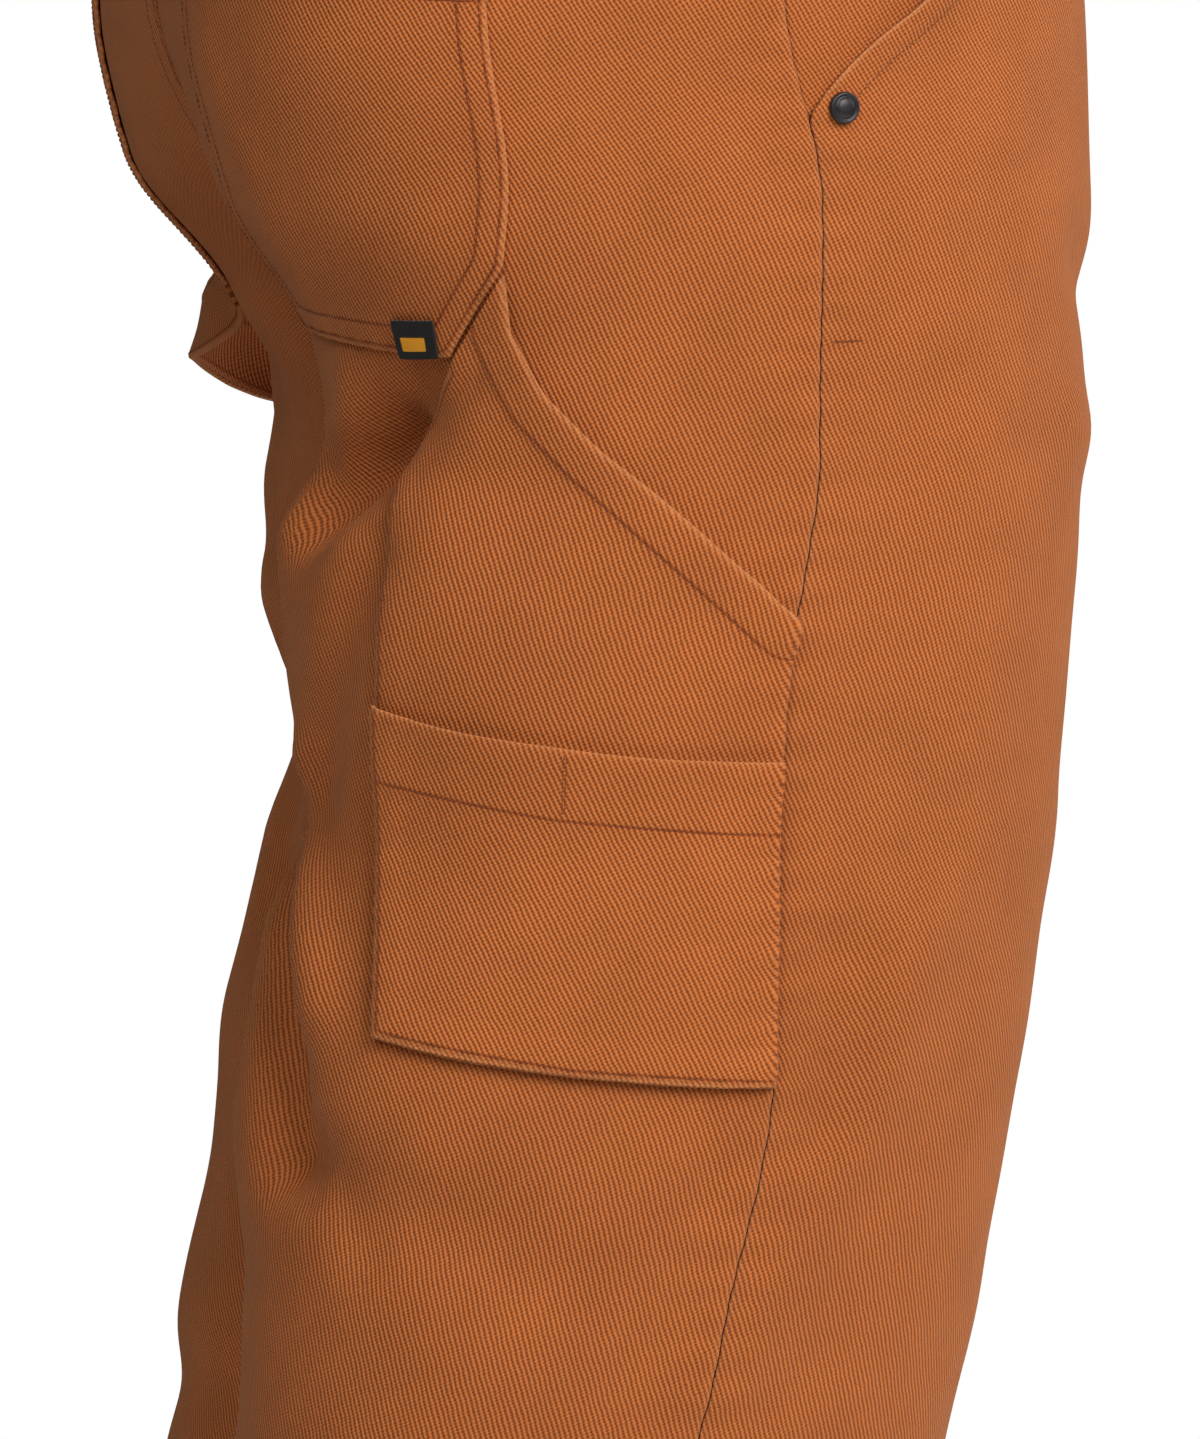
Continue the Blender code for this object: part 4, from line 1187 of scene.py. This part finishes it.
def sew_pockets():
    """Rows of stitching on the pockets."""
    curve = new_stitches("stitching_pockets")
    for node in ("back_pocket_right", "back_pocket_left"):
        patch = pocket_patch(node)
        lines = [inset_line(patch.cut.sewn, patch.inside, gap, 0.001) for gap in BACK_POCKET_STITCHES]
        for line in (*lines, inset_line(patch.cut.mouth, patch.inside, patch.cut.hem, 0.003)):
            sew(curve, patch.cloth, flat_line(line), patch.face)
    for node, trim in (("tool_pocket", 0.002), ("utility_pocket", 0.001)):
        patch = pocket_patch(node)
        line = inset_line(patch.cut.sewn, patch.inside, EDGE_STITCH, trim)
        sew(curve, patch.cloth, flat_line(line), patch.face)
        line = inset_line(patch.cut.mouth, patch.inside, patch.cut.hem, 0.004)
        edge = np.array([(k.s_b - 0.0015, -k.z_b) for k in patch.cut.knots])
        inside = [p for p in flat_line(line) if p[0] < np.interp(-p[1], edge[:, 1], edge[:, 0])]
        sew(curve, patch.cloth, inside, patch.face)
    patch = pocket_patch("utility_pocket")
    for shift in (-DIVIDER_APART / 2, DIVIDER_APART / 2):
        line = [(DIVIDER + shift, z) for z in np.linspace(DIVIDER_TOP, DIVIDER_FOOT, 12)]
        sew(curve, patch.cloth, line, patch.face, pitch=DIVIDER_PITCH)
    finish_stitches("stitching_pockets", curve)


def sew_waist():
    """Rows of stitching on the waistband, the fly, the belt loops and the hammer loop."""
    sizes = bpy.context.scene.pants_sizes
    curve = new_stitches("stitching_waist")
    grid, heights, _ = waistband_grid(WAISTBAND_LIFT)
    above, _, _ = waistband_grid(WAISTBAND_LIFT + PROBE)
    for z in (WAIST_TOP - STRAP_STITCH, WAIST_BOTTOM + BAND_STITCH):
        i = int(np.argmin(np.abs(heights - z)))
        sew_between(curve, grid[i], above[i])
    front = panel_cloth("left", "front")
    for gap in FLY_STITCHES:
        heights = np.linspace(WAIST_BOTTOM - 0.002, FLY_FOOT, 60)
        bend = np.sqrt(np.clip(1 - ((heights - FLY_TURN) / FLY_ROUND) ** 2, 0, 1))
        reach = np.where(heights > FLY_TURN, 1.0, bend)
        line = [(-(front.width(z) - 0.002 - gap * r), z) for z, r in zip(heights, reach)]
        sew(curve, front, line, 0.0)
    for loop in BELT_LOOPS:
        for side in SIDES.values():
            _, points = belt_loop_grid(loop, side)
            normal = unit(np.cross(points[:, -1] - points[:, 0], np.gradient(points[:, 4], axis=0)))
            normal *= np.sign((normal * (points[:, 4] * (1, 1, 0))).sum(axis=1, keepdims=True))
            for column in (1, 7):
                both = resample(np.concatenate([points[:, column], normal], axis=1), sizes.stitch_pitch)
                stitch_run(curve, both[:, :3], both[:, 3:], sizes.thread_width / 2)
    for off in (STRAP_STITCH - LOOP_WIDTH / 2, LOOP_WIDTH / 2 - STRAP_STITCH):
        share = np.linspace(0.01, 0.99, 120)
        ground = [hammer_loop_point(t, off) for t in share]
        sew_between(curve, ground, [hammer_loop_point(t, off, PROBE) for t in share])
    finish_stitches("stitching_waist", curve)


def look_from(azimuth, elevation):
    """The direction from the object towards a place in the studio."""
    a, e = math.radians(azimuth), math.radians(elevation)
    return Vector((math.sin(a) * math.cos(e), -math.cos(a) * math.cos(e), math.sin(e)))


def add_light(light):
    """A soft square light that faces the middle of the garment."""
    data = bpy.data.lights.new(light.name, "AREA")
    data.shape = "SQUARE"
    data.size = light.size
    data.energy = light.power
    data.color = linear(light.colour)[:3]
    place_facing(light.name, data, look_from(light.azimuth, light.elevation), light.distance)


def place_facing(name, data, back, distance):
    """A lamp or camera at a distance from the middle of the garment, turned to face it."""
    thing = bpy.data.objects.new(name, data)
    thing.location = VIEW_AIM + back * distance
    thing.rotation_mode = "QUATERNION"
    thing.rotation_quaternion = (-back).to_track_quat("-Z", "Y")
    bpy.context.scene.collection.objects.link(thing)
    return thing


def build_stage():
    """A pale round floor, a white surround, soft lights and the camera."""
    bm = bmesh.new()
    bmesh.ops.create_circle(bm, cap_ends=True, segments=96, radius=FLOOR_RADIUS)
    bmesh.ops.translate(bm, vec=(0, 0, CAD_BOX[0].z - FLOOR_BELOW), verts=bm.verts)
    mesh = bpy.data.meshes.new("floor")
    bm.to_mesh(mesh)
    bm.free()
    floor = bpy.data.objects.new("floor", mesh)
    # Matt painted board: pale, without gloss
    material, tree, shader = new_material("matt_painted_board", {"Roughness": 0.9})
    place = add_node(tree, "TexCoord")
    grain = add_node(tree, "TexNoise", {"Vector": place, "Scale": 40.0, "Detail": 4.0})
    colour = add_node(tree, "Mix", {0: grain, 6: linear("#eeeeec"), 7: linear("#f4f4f2")}, data_type="RGBA")
    set_inputs(tree, shader, {"Base Color": colour})
    mesh.materials.append(material)
    bpy.context.scene.collection.objects.link(floor)

    world = bpy.data.worlds.new("studio")
    world.use_nodes = True
    tree = world.node_tree
    tree.nodes.clear()
    seen = add_node(tree, "LightPath")
    strength = add_node(tree, "MapRange", {"Value": seen, "To Min": 0.015, "To Max": 1.0})
    surround = add_node(tree, "Background", {"Color": linear("#ffffff"), "Strength": strength})
    add_node(tree, "OutputWorld", {"Surface": surround})
    bpy.context.scene.world = world
    bpy.context.scene.view_settings.view_transform = "Standard"

    for light in LIGHTS:
        add_light(light)

    data = bpy.data.cameras.new("camera")
    data.sensor_width = SENSOR
    data.lens = VIEW_FOCAL_PIXELS / IMAGE_HEIGHT * SENSOR
    data.clip_start, data.clip_end = 0.05, 100.0
    back = look_from(VIEW_AZIMUTH, VIEW_ELEVATION)
    bpy.context.scene.camera = place_facing("camera", data, back, VIEW_DISTANCE)


LENGTH = {"precision": 5, "unit": "LENGTH"}
COLOUR = {"subtype": "COLOR", "min": 0, "max": 1}


class PantsSizes(bpy.types.PropertyGroup):
    """Sizes of the weave and the sewing."""

    wale_spacing: bpy.props.FloatProperty(
        name="Wale spacing", description="Distance between two of the twill's diagonal ribs", default=0.0015,
        min=0.0005, max=0.005, **LENGTH,
    )
    wale_angle: bpy.props.FloatProperty(
        name="Wale angle", description="How far the twill's ribs lean from the upright",
        default=math.radians(26), subtype="ANGLE",
    )
    stitch_pitch: bpy.props.FloatProperty(
        name="Stitch pitch", description="Length of one stitch with its gap", default=0.0027, min=0.001,
        max=0.01, **LENGTH,
    )
    thread_width: bpy.props.FloatProperty(
        name="Thread width", description="Thickness of the sewing thread", default=0.00048, min=0.0002,
        max=0.002, **LENGTH,
    )


class PantsColours(bpy.types.PropertyGroup):
    """Colours of the cloth, the thread and the trim."""

    # The ribs' colour holds a painted highlight and the grooves' colour a painted shade; the cloth's own
    # brown lies between them
    twill_wale_with_highlight: bpy.props.FloatVectorProperty(
        name="Twill ribs", description="Colour of the twill's raised ribs", default=linear("#cc763d")[:3],
        **COLOUR,
    )
    twill_groove_with_shade: bpy.props.FloatVectorProperty(
        name="Twill grooves", description="Colour between the twill's ribs", default=linear("#7e3d19")[:3],
        **COLOUR,
    )
    # Partly the colour of worn edges, partly a painted highlight on the turned rims
    twill_rubbed_highlight: bpy.props.FloatVectorProperty(
        name="Rubbed edges", description="Colour of the turned edges, where wear has paled them",
        default=linear("#d8935f")[:3], **COLOUR,
    )
    # Darker than the thread's own brown, as painted shade of the sunk stitches
    thread: bpy.props.FloatVectorProperty(
        name="Thread", description="Colour of the sewing thread", default=linear("#6c3616")[:3], **COLOUR
    )
    metal: bpy.props.FloatVectorProperty(
        name="Hardware", description="Colour of the rivets and the button", default=linear("#1b1a1e")[:3],
        **COLOUR,
    )
    tab_bar: bpy.props.FloatVectorProperty(
        name="Tab bar", description="Colour of the bar woven into the tab", default=linear("#f2a31d")[:3],
        **COLOUR,
    )


class PANTS_OT_panels(bpy.types.Operator):
    """Build the front and back panels of both legs"""

    bl_idname = "pants.panels"
    bl_label = "Panels"

    def execute(self, context):
        build_panels()
        return {"FINISHED"}


class PANTS_OT_facings(bpy.types.Operator):
    """Build the facings behind the front pockets' openings"""

    bl_idname = "pants.facings"
    bl_label = "Pocket Facings"

    def execute(self, context):
        build_facings()
        return {"FINISHED"}


class PANTS_OT_waistband(bpy.types.Operator):
    """Build the waistband"""

    bl_idname = "pants.waistband"
    bl_label = "Waistband"

    def execute(self, context):
        build_waistband()
        return {"FINISHED"}


class PANTS_OT_belt_loops(bpy.types.Operator):
    """Build the belt loops"""

    bl_idname = "pants.belt_loops"
    bl_label = "Belt Loops"

    def execute(self, context):
        build_belt_loops()
        return {"FINISHED"}


class PANTS_OT_fly(bpy.types.Operator):
    """Build the shield behind the fly"""

    bl_idname = "pants.fly"
    bl_label = "Fly Shield"

    def execute(self, context):
        build_fly_shield()
        return {"FINISHED"}


class PANTS_OT_pockets(bpy.types.Operator):
    """Build the patch pockets"""

    bl_idname = "pants.pockets"
    bl_label = "Patch Pockets"

    def execute(self, context):
        build_pockets()
        return {"FINISHED"}


class PANTS_OT_tab(bpy.types.Operator):
    """Build the tab on the right back pocket"""

    bl_idname = "pants.tab"
    bl_label = "Pocket Tab"

    def execute(self, context):
        build_tab()
        return {"FINISHED"}


class PANTS_OT_hammer_loop(bpy.types.Operator):
    """Build the hammer loop"""

    bl_idname = "pants.hammer_loop"
    bl_label = "Hammer Loop"

    def execute(self, context):
        build_hammer_loop()
        return {"FINISHED"}


class PANTS_OT_hardware(bpy.types.Operator):
    """Build the rivets and the button"""

    bl_idname = "pants.hardware"
    bl_label = "Rivets and Button"

    def execute(self, context):
        build_hardware()
        return {"FINISHED"}


class PANTS_OT_stitching(bpy.types.Operator):
    """Sew all rows of stitching"""

    bl_idname = "pants.stitching"
    bl_label = "Stitching"

    def execute(self, context):
        sew_legs()
        sew_pockets()
        sew_waist()
        return {"FINISHED"}


class PANTS_OT_stage(bpy.types.Operator):
    """Build the studio: floor, surround, lights and camera"""

    bl_idname = "pants.stage"
    bl_label = "Stage"

    def execute(self, context):
        build_stage()
        return {"FINISHED"}


OPERATORS = (
    PANTS_OT_stage,
    PANTS_OT_panels,
    PANTS_OT_facings,
    PANTS_OT_waistband,
    PANTS_OT_belt_loops,
    PANTS_OT_fly,
    PANTS_OT_pockets,
    PANTS_OT_tab,
    PANTS_OT_hammer_loop,
    PANTS_OT_hardware,
    PANTS_OT_stitching,
)


class PANTS_PT_sidebar(bpy.types.Panel):
    """Lists the pieces in the order they are built"""

    bl_idname = "PANTS_PT_sidebar"
    bl_label = "Carpenter Pants"
    bl_space_type = "VIEW_3D"
    bl_region_type = "UI"
    bl_category = "Pants"

    def draw(self, context):
        layout = self.layout
        for group in (context.scene.pants_sizes, context.scene.pants_colours):
            for name in group.__annotations__:
                layout.prop(group, name)
        for operator in OPERATORS:
            layout.operator(operator.bl_idname)


CLASSES = (PantsSizes, PantsColours, *OPERATORS, PANTS_PT_sidebar)


def register():
    """Registers the classes and puts the settings on the scene."""
    for item in CLASSES:
        bpy.utils.register_class(item)
    bpy.types.Scene.pants_sizes = bpy.props.PointerProperty(type=PantsSizes)
    bpy.types.Scene.pants_colours = bpy.props.PointerProperty(type=PantsColours)


def unregister():
    """Takes the settings and the classes away again."""
    del bpy.types.Scene.pants_colours
    del bpy.types.Scene.pants_sizes
    for item in reversed(CLASSES):
        bpy.utils.unregister_class(item)


def main():
    """Builds every piece in order."""
    register()
    for operator in OPERATORS:
        getattr(bpy.ops.pants, operator.bl_idname.split(".")[1])()


if __name__ == "__main__":
    main()
